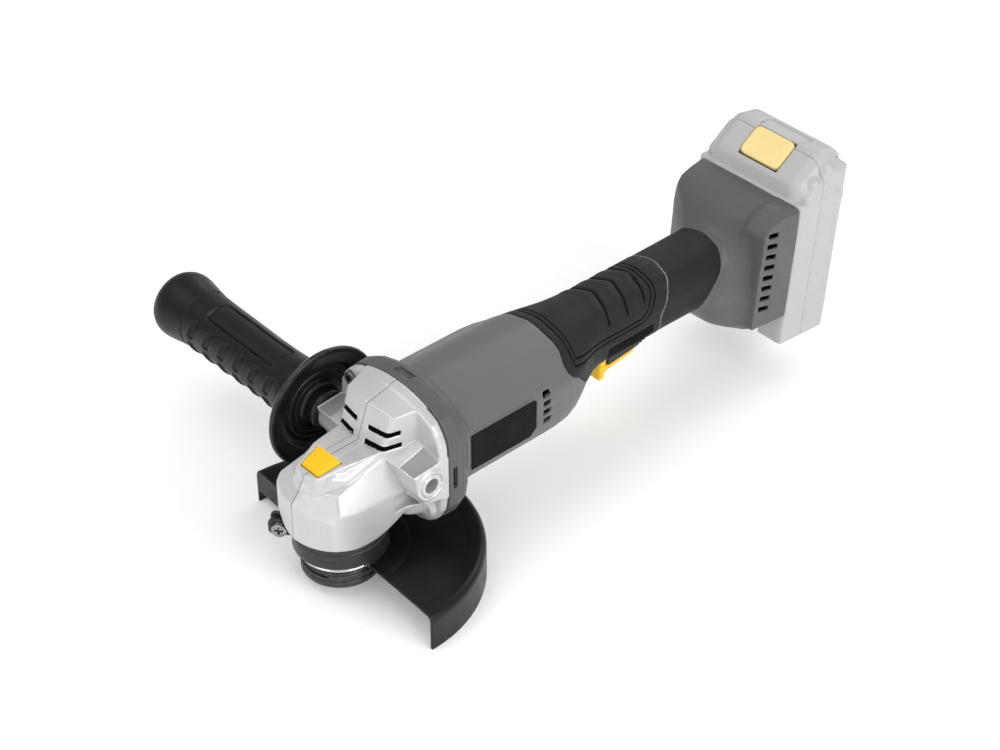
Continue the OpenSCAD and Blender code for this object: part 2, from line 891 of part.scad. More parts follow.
// Plastic frame that centres the rear bearing in the housing
module bearing_frame() {
    color([0.2, 0.2, 0.21])
    difference() {
        union() {
            y_tube(rear_bearing_r + 2.5, rear_bearing_r + snug, rear_bearing_y, rear_bearing_y + ball_bearing_w + 1.6);
            y_tube(frame_r, rear_bearing_r + 2, rear_bearing_y, rear_bearing_y + 2, 96);
        }
        for (a = [30 : 60 : 330])
            translate([0, rear_bearing_y - 1, motor_axis_z])
                rotate([0, a, 0])
                    translate([14.2, 0, 0])
                        rotate([-90, 0, 0])
                            cylinder(r = 2.6, h = 4, $fn = 24);
    }
}

// ---------------------------------------------------------------- housings

module baffle_ring() {
    color([0.38, 0.39, 0.4])
    difference() {
        flange_plate(flange_y + 0.05, housing_y - 0.05);
        y_rod(fan_cavity_r, flange_y - 1, housing_y - 2, 96);
        y_rod(20, housing_y - 3, housing_y + 1, 96);
        for (p = head_screw_at)
            translate([p[0], flange_y - 1, p[1]])
                rotate([-90, 0, 0])
                    cylinder(r = p[1] > motor_axis_z ? 1.92 : 2.2, h = p[1] > motor_axis_z ? 13.5 : 20, $fn = 24);
        // Notches in the rim
        both_sides()
            translate([33, flange_y + 2.5, 43])
                cube([10, 2.6, 13]);
        translate([-20, flange_y + 4, 84])
            cube([11, 5, 8]);
    }
}

module motor_housing() {
    color([0.42, 0.43, 0.44])
    difference() {
        union() {
            difference() {
                loft(body_sections, 0);
                side_prism(grip_side);
            }
            loft(body_sections, rubber_t + 0.05);
        }
        // Cavity, behind a bulkhead at the baffle ring
        difference() {
            loft(open_body_sections, wall + rubber_t);
            translate([-50, 0, 0])
                cube([100, housing_y + 2, 100]);
        }
        y_rod(can_r + 0.1, housing_y - 1, can_y[1] + 1, 96);
        trigger_slot();
        trigger_pin_bore(trigger_pin_r + snug);
        // Holes for the head screws
        for (p = body_screw_at)
            translate([p[0], housing_y - 1, p[1]])
                rotate([-90, 0, 0])
                    cylinder(r = 1.92, h = 18, $fn = 24);
        // Vents at the rear of the motor
        both_sides()
            for (i = [0 : 3])
                translate([25, 103, 48.2 + i * 5.2])
                    cube([12, 5.2, 3.2]);
    }
    // Bosses that take the head screws
    color([0.42, 0.43, 0.44])
    for (p = body_screw_at)
        translate([p[0], housing_y + 0.1, p[1]])
            rotate([-90, 0, 0])
                difference() {
                    cylinder(r = 3.9, h = 16, $fn = 32);
                    translate([0, 0, -1])
                        cylinder(r = 1.92, h = 18, $fn = 24);
                }
    // Lugs that hold the trigger's pivot pin
    color([0.42, 0.43, 0.44])
    both_sides()
        difference() {
            translate([trigger_half_w + 0.6, trigger_pin_at[0] - 3, 44.8])
                cube([3.4, 6, 5.2]);
            trigger_pin_bore(trigger_pin_r + snug);
        }
}

module trigger_pin_bore(r) {
    translate([0, trigger_pin_at[0], trigger_pin_at[1]])
        rotate([0, 90, 0])
            cylinder(r = r, h = 30, center = true, $fn = 32);
}

module rubber_grip() {
    color([0.16, 0.16, 0.17])
    difference() {
        intersection() {
            loft(body_sections, 0);
            side_prism(grip_side);
        }
        loft(body_sections, rubber_t);
        trigger_slot();
        // Room for the lugs of the trigger's pivot pin
        both_sides()
            translate([trigger_half_w + 0.4, trigger_pin_at[0] - 3.2, 44.6])
                cube([3.8, 6.4, 5.6]);
        // Finger grooves across the top
        for (y = [158, 174, 190])
            translate([-25, y, 77.9])
                cube([50, 1.6, 5]);
    }
}

module rear_sleeve() {
    color([0.14, 0.14, 0.15])
    difference() {
        loft(neck_sections, 0);
        translate([0, -1, 0])
            loft([for (s = [neck_sections[0], neck_sections[1]])
                [s[0] + (s[0] > 240 ? 4 : 0), s[1], s[2], s[3], s[4], s[5]]], rubber_t);
    }
}

module battery_foot() {
    color([0.38, 0.39, 0.4]) {
        difference() {
            union() {
                loft(foot_sections, 0);
                loft([neck_sections[0], [sleeve_end_y + 2, grip_half_w + 0.5, 79.5, 42.5, 14.7, 74.4]],
                     rubber_t + 0.12);
                // Spigot that plugs into the handle
                translate([-13.4, grip_end_y - 5, 51])
                    cube([26.8, 9, 18.5]);
            }
            // Hollow neck and foot
            translate([-11.2, grip_end_y - 7, 53.2])
                cube([22.4, 60, 14.2]);
            hull() {
                translate([-11.2, sleeve_end_y, 53.2])
                    cube([22.4, 1, 14.2]);
                translate([-30, 266, 34])
                    cube([60, 9, 48]);
            }
            // Rear face square to the rails
            on_rails()
                translate([-50, 0, -110])
                    cube([100, 20, 150]);
            // Side vents, parallel to the rails
            both_sides()
                on_rails()
                    for (i = [0 : 7])
                        translate([30, -20.2, -56 + i * 6.45])
                            cube([10, 5, 2.6]);
        }
        // Rail that the battery slides on
        on_rails() {
            translate([-rail_neck_w, -1, rail_low])
                cube([2 * rail_neck_w, 6, rail_high - rail_low]);
            translate([-rail_w, 4.2, rail_low])
                cube([2 * rail_w, 4.8, rail_high - rail_low]);
        }
    }
}

module label_plate() {
    color([0.15, 0.15, 0.16])
    translate([body_half_w + 0.02, 0, 0])
        rotate([90, 0, 90])
            linear_extrude(0.5)
                polygon([[55.4, 45.6], [94, 45.6], [98.1, 49.5], [98.1, 65.5], [97, 66.5], [56.4, 66.5],
                         [55.4, 65.5]]);
}

// ---------------------------------------------------------------- switch

module trigger_paddle() {
    color([0.1, 0.1, 0.11])
    difference() {
        union() {
            rotate([90, 0, 90])
                translate([0, 0, -trigger_half_w])
                    linear_extrude(2 * trigger_half_w)
                        polygon([[174.8, 33.1], [197, 35.5], [206, 38.5], [211, 43], [211, 48.5], [174.8, 48.5]]);
            // Grip ribs along both sides
            both_sides()
                for (i = [0 : 7])
                    translate([trigger_half_w - 0.1, 177 + i * 3.6, 38.5])
                        cube([0.4, 1.4, 6]);
        }
        // Notch that the lever hangs in
        translate([-4.3, 170, 28])
            cube([8.6, 12.5, 19.5]);
        trigger_pin_bore(trigger_pin_r + fit);
        lever_pin_bore(lever_pin_r + snug);
    }
}

module lever_pin_bore(r) {
    translate([0, lever_pin_at[0], lever_pin_at[1]])
        rotate([0, 90, 0])
            cylinder(r = r, h = 30, center = true, $fn = 32);
}

module trigger_pin() {
    color("silver")
    translate([0, trigger_pin_at[0], trigger_pin_at[1]])
        rotate([0, 90, 0])
            cylinder(r = trigger_pin_r, h = 2 * trigger_half_w + 7, center = true, $fn = 32);
}

module lever_pin() {
    color("silver")
    translate([0, lever_pin_at[0], lever_pin_at[1]])
        rotate([0, 90, 0])
            cylinder(r = lever_pin_r, h = 2 * trigger_half_w - 0.4, center = true, $fn = 32);
}

module lock_off_lever() {
    color([1, 0.78, 0.08])
    difference() {
        union() {
            // Finger tab
            hull() {
                translate([-6, 170.8, 23.5])
                    cube([12, 4, 6]);
                translate([-7, 169.8, 34])
                    cube([14, 3, 4]);
            }
            // Stem that hangs on the pin
            translate([-3.9, 171, 33])
                cube([7.8, 8.6, 11]);
            // Bar under the trigger
            rotate([90, 0, 90])
                translate([0, 0, -6.5])
                    linear_extrude(13)
                        polygon([[172, 28], [194, 31], [195.5, 32.5], [195.5, 34.4], [175, 32.3], [172, 32]]);
            translate([-3.9, 172, 30])
                cube([7.8, 7.6, 4]);
        }
        lever_pin_bore(lever_pin_r + fit);
    }
}

module switch_module() {
    color([0.13, 0.13, 0.14])
    difference() {
        union() {
            translate([-8, 180, 56])
                cube([16, 26, 14]);
            translate([-2.5, 184, 52.2])
                cube([5, 5, 5]);
        }
        for (y = [183, 203])
            translate([0, y, 66])
                rotate([0, 90, 0])
                    cylinder(r = 1.5, h = 30, center = true, $fn = 24);
    }
}

module trigger_spring() {
    color("silver")
    translate([0, 197, 48.6])
        spring(2.6, 0.4, 7.3, 5);
}

module control_board() {
    color([0.1, 0.35, 0.2]) {
        translate([-10.6, 218, 58])
            cube([21.2, 28, 1.6]);
        translate([-8, 222, 59.6])
            cube([7, 9, 4]);
        translate([2, 224, 59.6])
            cube([6, 6, 2.5]);
        translate([-6, 236, 59.6])
            cube([11, 6, 6]);
    }
}

// Blade contacts on the back of the battery rail
module tool_contacts() {
    color([0.8, 0.65, 0.35])
    on_rails()
        for (x = contact_x)
            translate([x, 9.02, -30])
                cube([1, 3.4, 12]);
}

// Insulated leads from the board to the motor
module motor_leads() {
    color([0.7, 0.1, 0.1])
    for (x = [-9.5, 9.5])
        translate([x, 0, 66])
            rotate([-90, 0, 0])
                translate([0, 0, 128])
                    cylinder(r = 1.2, h = 88, $fn = 16);
}

// ---------------------------------------------------------------- battery

// Outline of the pack across its width, in the rails' frame, as [x, depth]
module pack_plan(grow) {
    w = pack_half_w + grow;
    polygon([[-w, 1.2], [-w + 2, 0.2], [w - 2, 0.2], [w, 1.2], [w, pack_depth - 1.6],
             [w - 1.6, pack_depth + grow], [-w + 1.6, pack_depth + grow], [-w, pack_depth - 1.6]]);
}

pack_low = -86;
block_top = 23.6;
split_depth = 17;

// Side view of the raised block above the foot, as [depth, height]
block_side = [[0.2, -1], [0.2, 0.2], [1, 1], [2.4, 8.5], [4.2, 11.2], [18.5, block_top - 1], [21.5, block_top],
              [pack_depth - 3, block_top - 1.3], [pack_depth, 20], [pack_depth, -1]];
// Side view of the full-width shoulder behind the block
shoulder_side = [[6, -1], [6, 4], [20, 15.5], [23, 16.5], [pack_depth - 1, 16.5], [pack_depth, 15.5],
                 [pack_depth, -1]];
// Side view of the space for the cells
cell_side = [[15, pack_low + 2.2], [pack_depth - 2.2, pack_low + 2.2], [pack_depth - 2.2, 17], [31.8, 19],
             [29, 19], [20.5, 11.2], [15, 6.5]];

// Prism across the pack from its side view
module pack_prism(points, half_w) {
    rotate([90, 0, 90])
        translate([0, 0, -half_w])
            linear_extrude(2 * half_w)
                polygon(points);
}

// Whole outside of the battery pack, in the rails' frame
module pack_outside() {
    translate([0, 0, pack_low])
        linear_extrude(1 - pack_low)
            pack_plan(0);
    pack_prism(block_side, pack_half_w - 3);
    pack_prism(shoulder_side, pack_half_w);
}

module pack_inside() {
    intersection() {
        pack_prism(cell_side, pack_half_w - 2.2);
        union() {
            translate([-50, 0, -100])
                cube([100, 50, 98]);
            pack_prism(cell_side, pack_half_w - 5.2);
        }
    }
    // Space for the battery board
    translate([-27.5, 11.2, pack_low + 2.2])
        cube([55, 5, 78]);
    // Side pockets
    both_sides()
        translate([28.6, 2.4, pack_low + 2.2])
            cube([6.2, 13, 82]);
    // Channel for the foot's rail, open below
    translate([-rail_w - 0.4, 3.8, -100])
        cube([2 * rail_w + 0.8, 5.6, 100 + rail_high + 0.4]);
    translate([-rail_neck_w - 0.4, -1, -100])
        cube([2 * rail_neck_w + 0.8, 5.6, 100 + rail_high + 0.4]);
    // Slots that the tool's contacts slide in
    for (x = contact_x)
        translate([x - 0.7, 9, -100])
            cube([2.4, 4, 83]);
}

// Latch button's side view; depth is how far its well goes in past it
module latch_shape(grow, depth) {
    side = 2.4 * grow;
    pack_prism([[3.9 - side, 12.1], [6.4 - side, 9.1 - grow], [6.4 + depth * 0.65, 9.1 - grow - depth * 0.76],
                [20.7 + side + depth * 0.65, 20.5 - depth * 0.76], [20.7 + side, 20.5], [18.2 + side, 23.5]],
               13.7 + grow);
}

module battery_front_case() {
    color([0.74, 0.74, 0.75])
    on_rails()
        difference() {
            pack_outside();
            pack_inside();
            translate([-50, split_depth, -100])
                cube([100, 50, 150]);
            latch_shape(0.3, 3);
        }
}

module battery_rear_case() {
    color([0.74, 0.74, 0.75])
    on_rails()
        difference() {
            intersection() {
                pack_outside();
                translate([-50, split_depth + 0.05, -100])
                    cube([100, 50, 150]);
            }
            pack_inside();
            latch_shape(0.3, 3);
        }
}

module battery_latch() {
    color([1, 0.9, 0.62])
    on_rails()
        latch_shape(0, 0);
}

module battery_cells() {
    color([0.2, 0.4, 0.65])
    on_rails()
        for (i = [0 : 4])
            translate([i < 4 ? -32.5 : -31, 24.5, -74 + i * 18.6])
                rotate([0, 90, 0])
                    cylinder(r = 9.1, h = i < 4 ? 65 : 62, $fn = 48);
}

module battery_board() {
    color([0.1, 0.35, 0.2])
    on_rails()
        translate([-25, 13.6, -80])
            cube([50, 1.2, 70]);
}

// Spring clips that grip the tool's contacts
module battery_terminals() {
    color([0.8, 0.65, 0.35])
    on_rails()
        for (x = contact_x)
            for (side = [-1, 1])
                translate([x + 0.5 + side * 0.9 - 0.15, 11.4, -29])
                    cube([0.3, 2.15, 8]);
}

// ---------------------------------------------------------------- side handle

// Places children on the side handle's axis, Z pointing away from the head
module on_handle() {
    translate([0, handle_y, handle_z])
        rotate([0, -90, 0])
            children();
}

module handle_stud() {
    color("silver")
    on_handle()
        union() {
            translate([0, 0, 27.5])
                cylinder(r = socket_r - fit, h = 52, $fn = 48);
            translate([0, 0, 62])
                cylinder(r = 6.5, h = 5, $fn = 6);
        }
}

// Hard core of the side handle, with the hand guard
module handle_core() {
    color([0.13, 0.13, 0.14])
    on_handle()
        difference() {
            rotate_extrude($fn = 96)
                polygon([[0, 39], [9.5, 39], [11, 41], [11, 45], [14, 46.5], [19, 47.5], [26, 45.5], [31, 43.2],
                         [hand_guard_r, 43.4], [hand_guard_r + 0.6, 45], [hand_guard_r - 0.6, 46.6], [28, 49],
                         [21, 52.5], [15.5, 55], [handle_core_r, 58], [handle_core_r, 150], [0, 150]]);
            translate([0, 0, 38])
                cylinder(r = socket_r, h = 42, $fn = 48);
            translate([0, 0, 61.9])
                cylinder(r = 6.6, h = 5.2, $fn = 6);
        }
}

module handle_grip() {
    color([0.16, 0.16, 0.17])
    on_handle()
        difference() {
            rotate_extrude($fn = 96)
                polygon([[0, 56.8], [15.6, 56.8], [16.4, 59], [16.4, 64], [15.6, 70], [15.2, 90], [15.5, 115],
                         [15.7, 134], [16, 142], [16.8, 148], [17.9, 154], [18.5, 159], [18.2, 162.5], [17, 166],
                         [14, 168.6], [9, 169.8], [0, 170]]);
            translate([0, 0, 50])
                cylinder(r = handle_core_r + snug, h = 100.1, $fn = 96);
            rotate_extrude($fn = 96)
                polygon([[0, 50], [19, 50], [15.6, 55.2], [handle_core_r, 58.2], [0, 58.2]]);
            // Short grooves along the front
            for (i = [0 : 5])
                translate([-9, -20, 70 + i * 11.5])
                    cube([18, 5.5, 3]);
        }
}

gear_housing();
bearing_cover();
head_screws();
spindle_seal();
spindle_bearing_outer();
spindle_bearing_inner();
top_bush();
spindle();
crown_gear();
gear_clip();
inner_flange();
clamp_nut();
spindle_lock_button();
lock_pin();
lock_spring();
guard_shell();
guard_band();
guard_screw();
guard_screw_nut();
front_bearing_outer();
front_bearing_inner();
motor_shaft();
pinion();
fan();
armature_core();
armature_windings();
commutator();
motor_can();
magnets();
brush_card();
brush_holders();
brushes();
brush_springs();
rear_bearing_outer();
rear_bearing_inner();
bearing_frame();
baffle_ring();
motor_housing();
rubber_grip();
rear_sleeve();
battery_foot();
label_plate();
trigger_paddle();
trigger_pin();
lever_pin();
lock_off_lever();
switch_module();
trigger_spring();
control_board();
tool_contacts();
motor_leads();
battery_front_case();
battery_rear_case();
battery_latch();
battery_cells();
battery_board();
battery_terminals();
handle_stud();
handle_core();
handle_grip();
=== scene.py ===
import json
import math
import bpy
import numpy as np
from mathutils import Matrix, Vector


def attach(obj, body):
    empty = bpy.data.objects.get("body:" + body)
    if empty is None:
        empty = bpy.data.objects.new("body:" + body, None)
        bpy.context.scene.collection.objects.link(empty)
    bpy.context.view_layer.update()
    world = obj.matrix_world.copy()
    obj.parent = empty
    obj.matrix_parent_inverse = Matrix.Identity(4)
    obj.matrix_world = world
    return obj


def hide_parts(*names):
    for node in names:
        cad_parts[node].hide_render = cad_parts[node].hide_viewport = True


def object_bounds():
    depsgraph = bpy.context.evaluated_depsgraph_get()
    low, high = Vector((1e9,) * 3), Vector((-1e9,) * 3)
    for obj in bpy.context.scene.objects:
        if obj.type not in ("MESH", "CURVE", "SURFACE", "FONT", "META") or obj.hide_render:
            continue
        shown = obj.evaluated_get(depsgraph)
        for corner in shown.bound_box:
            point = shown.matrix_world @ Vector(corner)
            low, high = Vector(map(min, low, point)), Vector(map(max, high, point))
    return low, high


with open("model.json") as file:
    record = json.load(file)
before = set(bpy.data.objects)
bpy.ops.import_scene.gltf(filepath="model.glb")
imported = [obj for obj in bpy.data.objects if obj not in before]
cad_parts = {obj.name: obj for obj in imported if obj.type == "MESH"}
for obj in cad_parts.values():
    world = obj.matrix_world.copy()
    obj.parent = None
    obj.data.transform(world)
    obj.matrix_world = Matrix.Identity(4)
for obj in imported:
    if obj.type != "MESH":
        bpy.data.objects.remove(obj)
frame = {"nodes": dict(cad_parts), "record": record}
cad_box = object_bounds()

MM = 0.001
COARSE = 1.0

# -------- driving sizes, mm
# The same dimensions as the CAD's. The spindle is the Z axis and the handle points along +Y.

MOTOR_Z = 54.0
HEAD_W = 24.5
HEAD_TOP = 66.5
NECK_R = 21.8
# Side handle boss: distance of its face from the middle, then its axis in y and z
BOSS = (38.5, 27.4, 53.2)
# Head screws, in x and z
TOP_SCREW = (-28.4, 77.4)
LOW_SCREWS = ((-25, 38.5), (25, 38.5))
LOCK_PIN_Y = -9.5
FLANGE_Y = 39.0
HOUSING_Y = 53.0
GRIP_END = 212.5
SLEEVE_END = 249.0
# Where depth and height along the battery rails are measured from, and the rails' tilt
FOOT_Y = 285.0
FOOT_TOP = 96.0
RAIL_TILT = math.radians(4.8)
GRIP_W = 19.5
BODY_W = 35.0
GUARD_R = 71.9
PACK_W = 37.0
# Pins of the trigger and the lock-off lever, in y and z
TRIGGER_PIN = (207.5, 46.5)
LEVER_PIN = (177.5, 42.0)

# -------- distance fields


def both(a, b, r=0.0):
    """Intersection of two fields, its edge rounded with radius r."""
    sharp = np.maximum(a, b)
    if np.isscalar(r) and r <= 0:
        return sharp
    corner = np.sqrt(np.maximum(a + r, 0) ** 2 + np.maximum(b + r, 0) ** 2)
    return np.minimum(sharp, -r) + corner


def either(a, b, r=0.0):
    """Union of two fields, its inside corner filled with radius r."""
    return -both(-a, -b, r)


def cut(a, b, r=0.0):
    return both(a, -b, r)


def between(v, low, high):
    return np.abs(v - (low + high) / 2) - (high - low) / 2


def box(x, y, z, low, high, r=0.5):
    d = both(between(x, low[0], high[0]), between(y, low[1], high[1]), r)
    return both(d, between(z, low[2], high[2]), r)


def ring(u, v, radius, cu=0.0, cv=0.0):
    return np.hypot(u - cu, v - cv) - radius


def rod(u, v, w, cu, cv, radius, low, high, r=0.3):
    return both(ring(u, v, radius, cu, cv), between(w, low, high), r)


def edge(u, v, a, b):
    """Half plane whose inside lies to the left of the way from a to b."""
    du, dv = b[0] - a[0], b[1] - a[1]
    return ((u - a[0]) * dv - (v - a[1]) * du) / math.hypot(du, dv)


def prism(u, v, points, r=0.5):
    """Convex outline, anticlockwise, with rounded corners."""
    d = None
    for a, b in zip(points, points[1:] + points[:1]):
        e = edge(u, v, a, b)
        d = e if d is None else both(d, e, r)
    return d


def outline(u, v, points):
    """Exact signed distance to any closed outline."""
    best = None
    sign = None
    for a, b in zip(points, points[1:] + points[:1]):
        eu, ev = b[0] - a[0], b[1] - a[1]
        wu, wv = u - a[0], v - a[1]
        t = np.clip((wu * eu + wv * ev) / (eu * eu + ev * ev), 0, 1)
        d = (wu - t * eu) ** 2 + (wv - t * ev) ** 2
        best = d if best is None else np.minimum(best, d)
        above = v >= a[1]
        below = v < b[1]
        left = eu * wv > ev * wu
        flip = (above & below & left) | (~above & ~below & ~left)
        sign = flip if sign is None else sign ^ flip
    return np.where(sign, -1.0, 1.0) * np.sqrt(best)


def groove(d, line, width, depth):
    """Presses a rounded groove into field d along the curve where line is 0."""
    t = np.clip(1 - np.abs(line) / (width / 2), 0, 1)
    return d + depth * t * t * (3 - 2 * t)


def step(v, low, high):
    t = np.clip((v - low) / (high - low), 0, 1)
    return t * t * (3 - 2 * t)


# -------- meshing


def neighbours(axis):
    """Slices that pair each sample of a grid with the next one along an axis."""
    first = [slice(None)] * 3
    last = [slice(None)] * 3
    first[axis] = slice(None, -1)
    last[axis] = slice(1, None)
    return tuple(first), tuple(last)


def surface(shape, low, high, cell):
    """Surface nets over a field, each point then moved onto the field's zero."""
    axes = []
    for a, b in zip(low, high):
        n = int(math.ceil((b - a) / cell)) + 5
        axes.append(((a + b) / 2 + (np.arange(n) - (n - 1) / 2) * cell).astype(np.float32))
    gx, gy, gz = axes[0][:, None, None], axes[1][None, :, None], axes[2][None, None, :]
    v = np.ascontiguousarray(np.broadcast_to(shape(gx, gy, gz), [len(a) for a in axes]), np.float32)
    inside = v < 0
    some, every = inside, inside
    for axis in range(3):
        first, last = neighbours(axis)
        some = some[first] | some[last]
        every = every[first] & every[last]
    active = some & ~every
    cells = np.argwhere(active)
    number = np.full(active.shape, -1, np.int64)
    number[tuple(cells.T)] = np.arange(len(cells))
    corners = [(i, j, k) for i in (0, 1) for j in (0, 1) for k in (0, 1)]
    value = {c: v[cells[:, 0] + c[0], cells[:, 1] + c[1], cells[:, 2] + c[2]] for c in corners}
    total = np.zeros((len(cells), 3))
    count = np.zeros(len(cells))
    for c in corners:
        for axis in range(3):
            if c[axis]:
                continue
            e = tuple(1 if n == axis else c[n] for n in range(3))
            a, b = value[c], value[e]
            hit = (a < 0) != (b < 0)
            t = a[hit] / (a[hit] - b[hit])
            point = np.tile(np.array(c, float), (len(t), 1))
            point[:, axis] += t
            total[hit] += point
            count[hit] += 1
    base = np.array([a[0] for a in axes], float)
    points = base + (cells + total / count[:, None]) * cell
    e = 0.02 * cell
    for _ in range(3):
        x, y, z = points.T
        d = shape(x, y, z)
        g = np.stack([shape(x + e, y, z) - shape(x - e, y, z),
                      shape(x, y + e, z) - shape(x, y - e, z),
                      shape(x, y, z + e) - shape(x, y, z - e)], 1) / (2 * e)
        size = np.maximum((g * g).sum(1), 0.05)
        move = -(d / size)[:, None] * g
        length = np.linalg.norm(move, axis=1)
        move *= (np.minimum(length, 0.4 * cell) / np.maximum(length, 1e-9))[:, None]
        points = points + move
    quads = []
    for axis in range(3):
        first, last = neighbours(axis)
        crossing = np.argwhere(inside[first] != inside[last])
        outward = inside[tuple(crossing.T)]
        p, q = (axis + 1) % 3, (axis + 2) % 3
        face = []
        for dp, dq in ((-1, -1), (0, -1), (0, 0), (-1, 0)):
            c = crossing.copy()
            c[:, p] += dp
            c[:, q] += dq
            face.append(number[tuple(c.T)])
        face = np.stack(face, 1)
        face[~outward] = face[~outward][:, ::-1]
        quads.append(face)
    return points, np.concatenate(quads)


def mesh_object(name, points, faces):
    """Object from points in mm and faces of one size."""
    mesh = bpy.data.meshes.new(name)
    sides = faces.shape[1]
    mesh.vertices.add(len(points))
    mesh.vertices.foreach_set("co", (np.asarray(points) * MM).astype(np.float32).ravel())
    mesh.loops.add(faces.size)
    mesh.loops.foreach_set("vertex_index", faces.astype(np.int32).ravel())
    mesh.polygons.add(len(faces))
    mesh.polygons.foreach_set("loop_start", np.arange(0, faces.size, sides, dtype=np.int32))
    mesh.polygons.foreach_set("use_smooth", np.ones(len(faces), bool))
    mesh.update(calc_edges=True)
    mesh.validate()
    piece = bpy.data.objects.new(name, mesh)
    bpy.context.collection.objects.link(piece)
    return piece


def thin_out(piece, keep):
    """Collapses the mesh to a share of its faces and applies it."""
    modifier = piece.modifiers.new("thin", "DECIMATE")
    modifier.ratio = keep
    graph = bpy.context.evaluated_depsgraph_get()
    reduced = bpy.data.meshes.new_from_object(piece.evaluated_get(graph))
    piece.modifiers.clear()
    old = piece.data
    piece.data = reduced
    bpy.data.meshes.remove(old)
    reduced.polygons.foreach_set("use_smooth", np.ones(len(reduced.polygons), bool))


def dress(piece, names, pick=None):
    """Gives a piece its materials. Pick tells each face's material from its centre."""
    piece.data.materials.clear()
    for name in names:
        piece.data.materials.append(M[name])
    if pick is not None:
        n = len(piece.data.polygons)
        centre = np.zeros(n * 3, np.float32)
        piece.data.polygons.foreach_get("center", centre)
        x, y, z = centre.reshape(-1, 3).T / MM
        piece.data.polygons.foreach_set("material_index", pick(x, y, z).astype(np.int32))
    piece.data.update()


def solid(name, shape, low, high, cell, body, slot, node, materials=None, keep=0.35, pick=None):
    """A finished piece from a distance field, with its slot's own material unless others are given."""
    points, faces = surface(shape, low, high, cell * COARSE)
    piece = mesh_object(name, points, faces)
    thin_out(piece, keep)
    dress(piece, materials or [slot], pick)
    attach(piece, body)
    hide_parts(node)


# -------- materials


def linear(grey):
    """Screen value 0-255, or a triple of them, as a linear colour."""
    triple = grey if isinstance(grey, (tuple, list)) else (grey, grey, grey)
    out = []
    for c in triple:
        c = c / 255
        out.append(c / 12.92 if c <= 0.04045 else ((c + 0.055) / 1.055) ** 2.4)
    return (*out, 1.0)


def finish(name, tone, rough, metal=0.0, spread=0.06, blotch=30.0, grain=900.0, depth=0.012, wear_and_highlight=0.0,
           worn_and_lit_tone=None, worn_rough=None, hollow_shade=0.0, specular=0.5, sheen=0.0, stretch=(1, 1, 1),
           scratches=0.0, rough_spread=0.08, midline_shade=0.0):
    """Procedural material: tone patches, grain relief, uneven gloss, edge wear with a painted edge highlight,
    painted shade in hollows and scratches.
    """
    m = bpy.data.materials.new(name)
    m.use_nodes = True
    nodes, links = m.node_tree.nodes, m.node_tree.links
    base = linear(tone)

    def fill(sockets, values):
        """Sets each socket to a constant or links it to another node's output."""
        for key, value in values.items():
            if isinstance(value, bpy.types.NodeSocket):
                links.new(value, sockets[key])
            else:
                sockets[key].default_value = value

    def node(kind, output, values, **settings):
        n = nodes.new("ShaderNode" + kind)
        for key, value in settings.items():
            setattr(n, key, value)
        fill(n.inputs, values)
        return n.outputs[output]

    def mapped(scale, turn=(0, 0, 0)):
        return node("Mapping", "Vector", {"Vector": place, "Scale": scale, "Rotation": turn})

    def noise(vector, scale, detail, roughness=0.55):
        values = {"Vector": vector, "Scale": scale, "Detail": detail, "Roughness": roughness}
        return node("TexNoise", "Fac", values)

    def mix(factor, a, b, kind="RGBA"):
        return node("Mix", "Result", {"Factor": factor, "A": a, "B": b}, data_type=kind)

    def remap(value, low, high, to_low, to_high):
        values = {"Value": value, "From Min": low, "From Max": high, "To Min": to_low, "To Max": to_high}
        return node("MapRange", "Result", values)

    def scaled(factor):
        """The base colour made darker or lighter."""
        return tuple(min(1.0, c * factor) for c in base[:3]) + (1.0,)

    place = node("TexCoord", "Object", {})
    skin = mapped(stretch)
    patches = remap(noise(skin, blotch, 4.0), 0.3, 0.7, 0, 1)
    fine = noise(skin, grain, 2.0)
    speck = mix(remap(fine, 0.25, 0.75, 0, 1), scaled(0.9), scaled(1.1))
    colour = mix(0.35, mix(patches, scaled(1 - spread), scaled(1 + spread)), speck)
    gloss = noise(skin, blotch * 3.1, 5.0)
    roughness = remap(gloss, 0.3, 0.7, max(0.02, rough - rough_spread), rough + rough_spread)
    # Lighter tone on convex edges: partly rubbed wear, partly a painted edge highlight
    if wear_and_highlight > 0:
        edges = remap(node("NewGeometry", "Pointiness", {}), 0.515, 0.56, 0, 1)
        ragged = remap(noise(skin, 260.0, 5.0), 0.38, 0.62, 0, wear_and_highlight)
        rubbed_and_lit = node("Math", "Value", {0: edges, 1: ragged}, operation="MULTIPLY")
        colour = mix(rubbed_and_lit, colour, linear(worn_and_lit_tone))
        if worn_rough is not None:
            roughness = mix(rubbed_and_lit, roughness, worn_rough, "FLOAT")
    # Painted shade: colour darkened in hollows, where pointiness is low
    if hollow_shade > 0:
        hollow = remap(node("NewGeometry", "Pointiness", {}), 0.49, 0.44, 0, hollow_shade)
        colour = mix(hollow, colour, scaled(0.45))
    # Painted shade: a near-black line down the middle, x = 0, where the head's seam groove runs
    if midline_shade > 0:
        off_middle = node("SeparateXYZ", "X", {"Vector": place})
        off_middle = node("Math", "Value", {0: off_middle}, operation="ABSOLUTE")
        colour = mix(remap(off_middle, 0.1 * MM, 0.32 * MM, midline_shade, 0), colour, scaled(0.12))
    relief = node("Bump", "Normal", {"Height": fine, "Strength": 0.6, "Distance": depth * MM})
    if scratches > 0:
        lines = noise(mapped((1, 22, 1), (0.3, 0.2, 0.7)), 60.0, 6.0, 0.5)
        relief = node("Bump", "Normal", {"Height": lines, "Strength": scratches, "Distance": 0.02 * MM,
                                         "Normal": relief})
    fill(nodes["Principled BSDF"].inputs, {"Base Color": colour, "Metallic": metal, "Roughness": roughness,
                                           "Specular IOR Level": specular, "Sheen Weight": sheen,
                                           "Normal": relief})
    return m


STEEL = dict(metal=1.0, spread=0.08, blotch=60, grain=700, depth=0.006)
MOULDED = dict(spread=0.045, blotch=22, grain=1800, depth=0.03, wear_and_highlight=0.35, hollow_shade=0.55, specular=0.45)
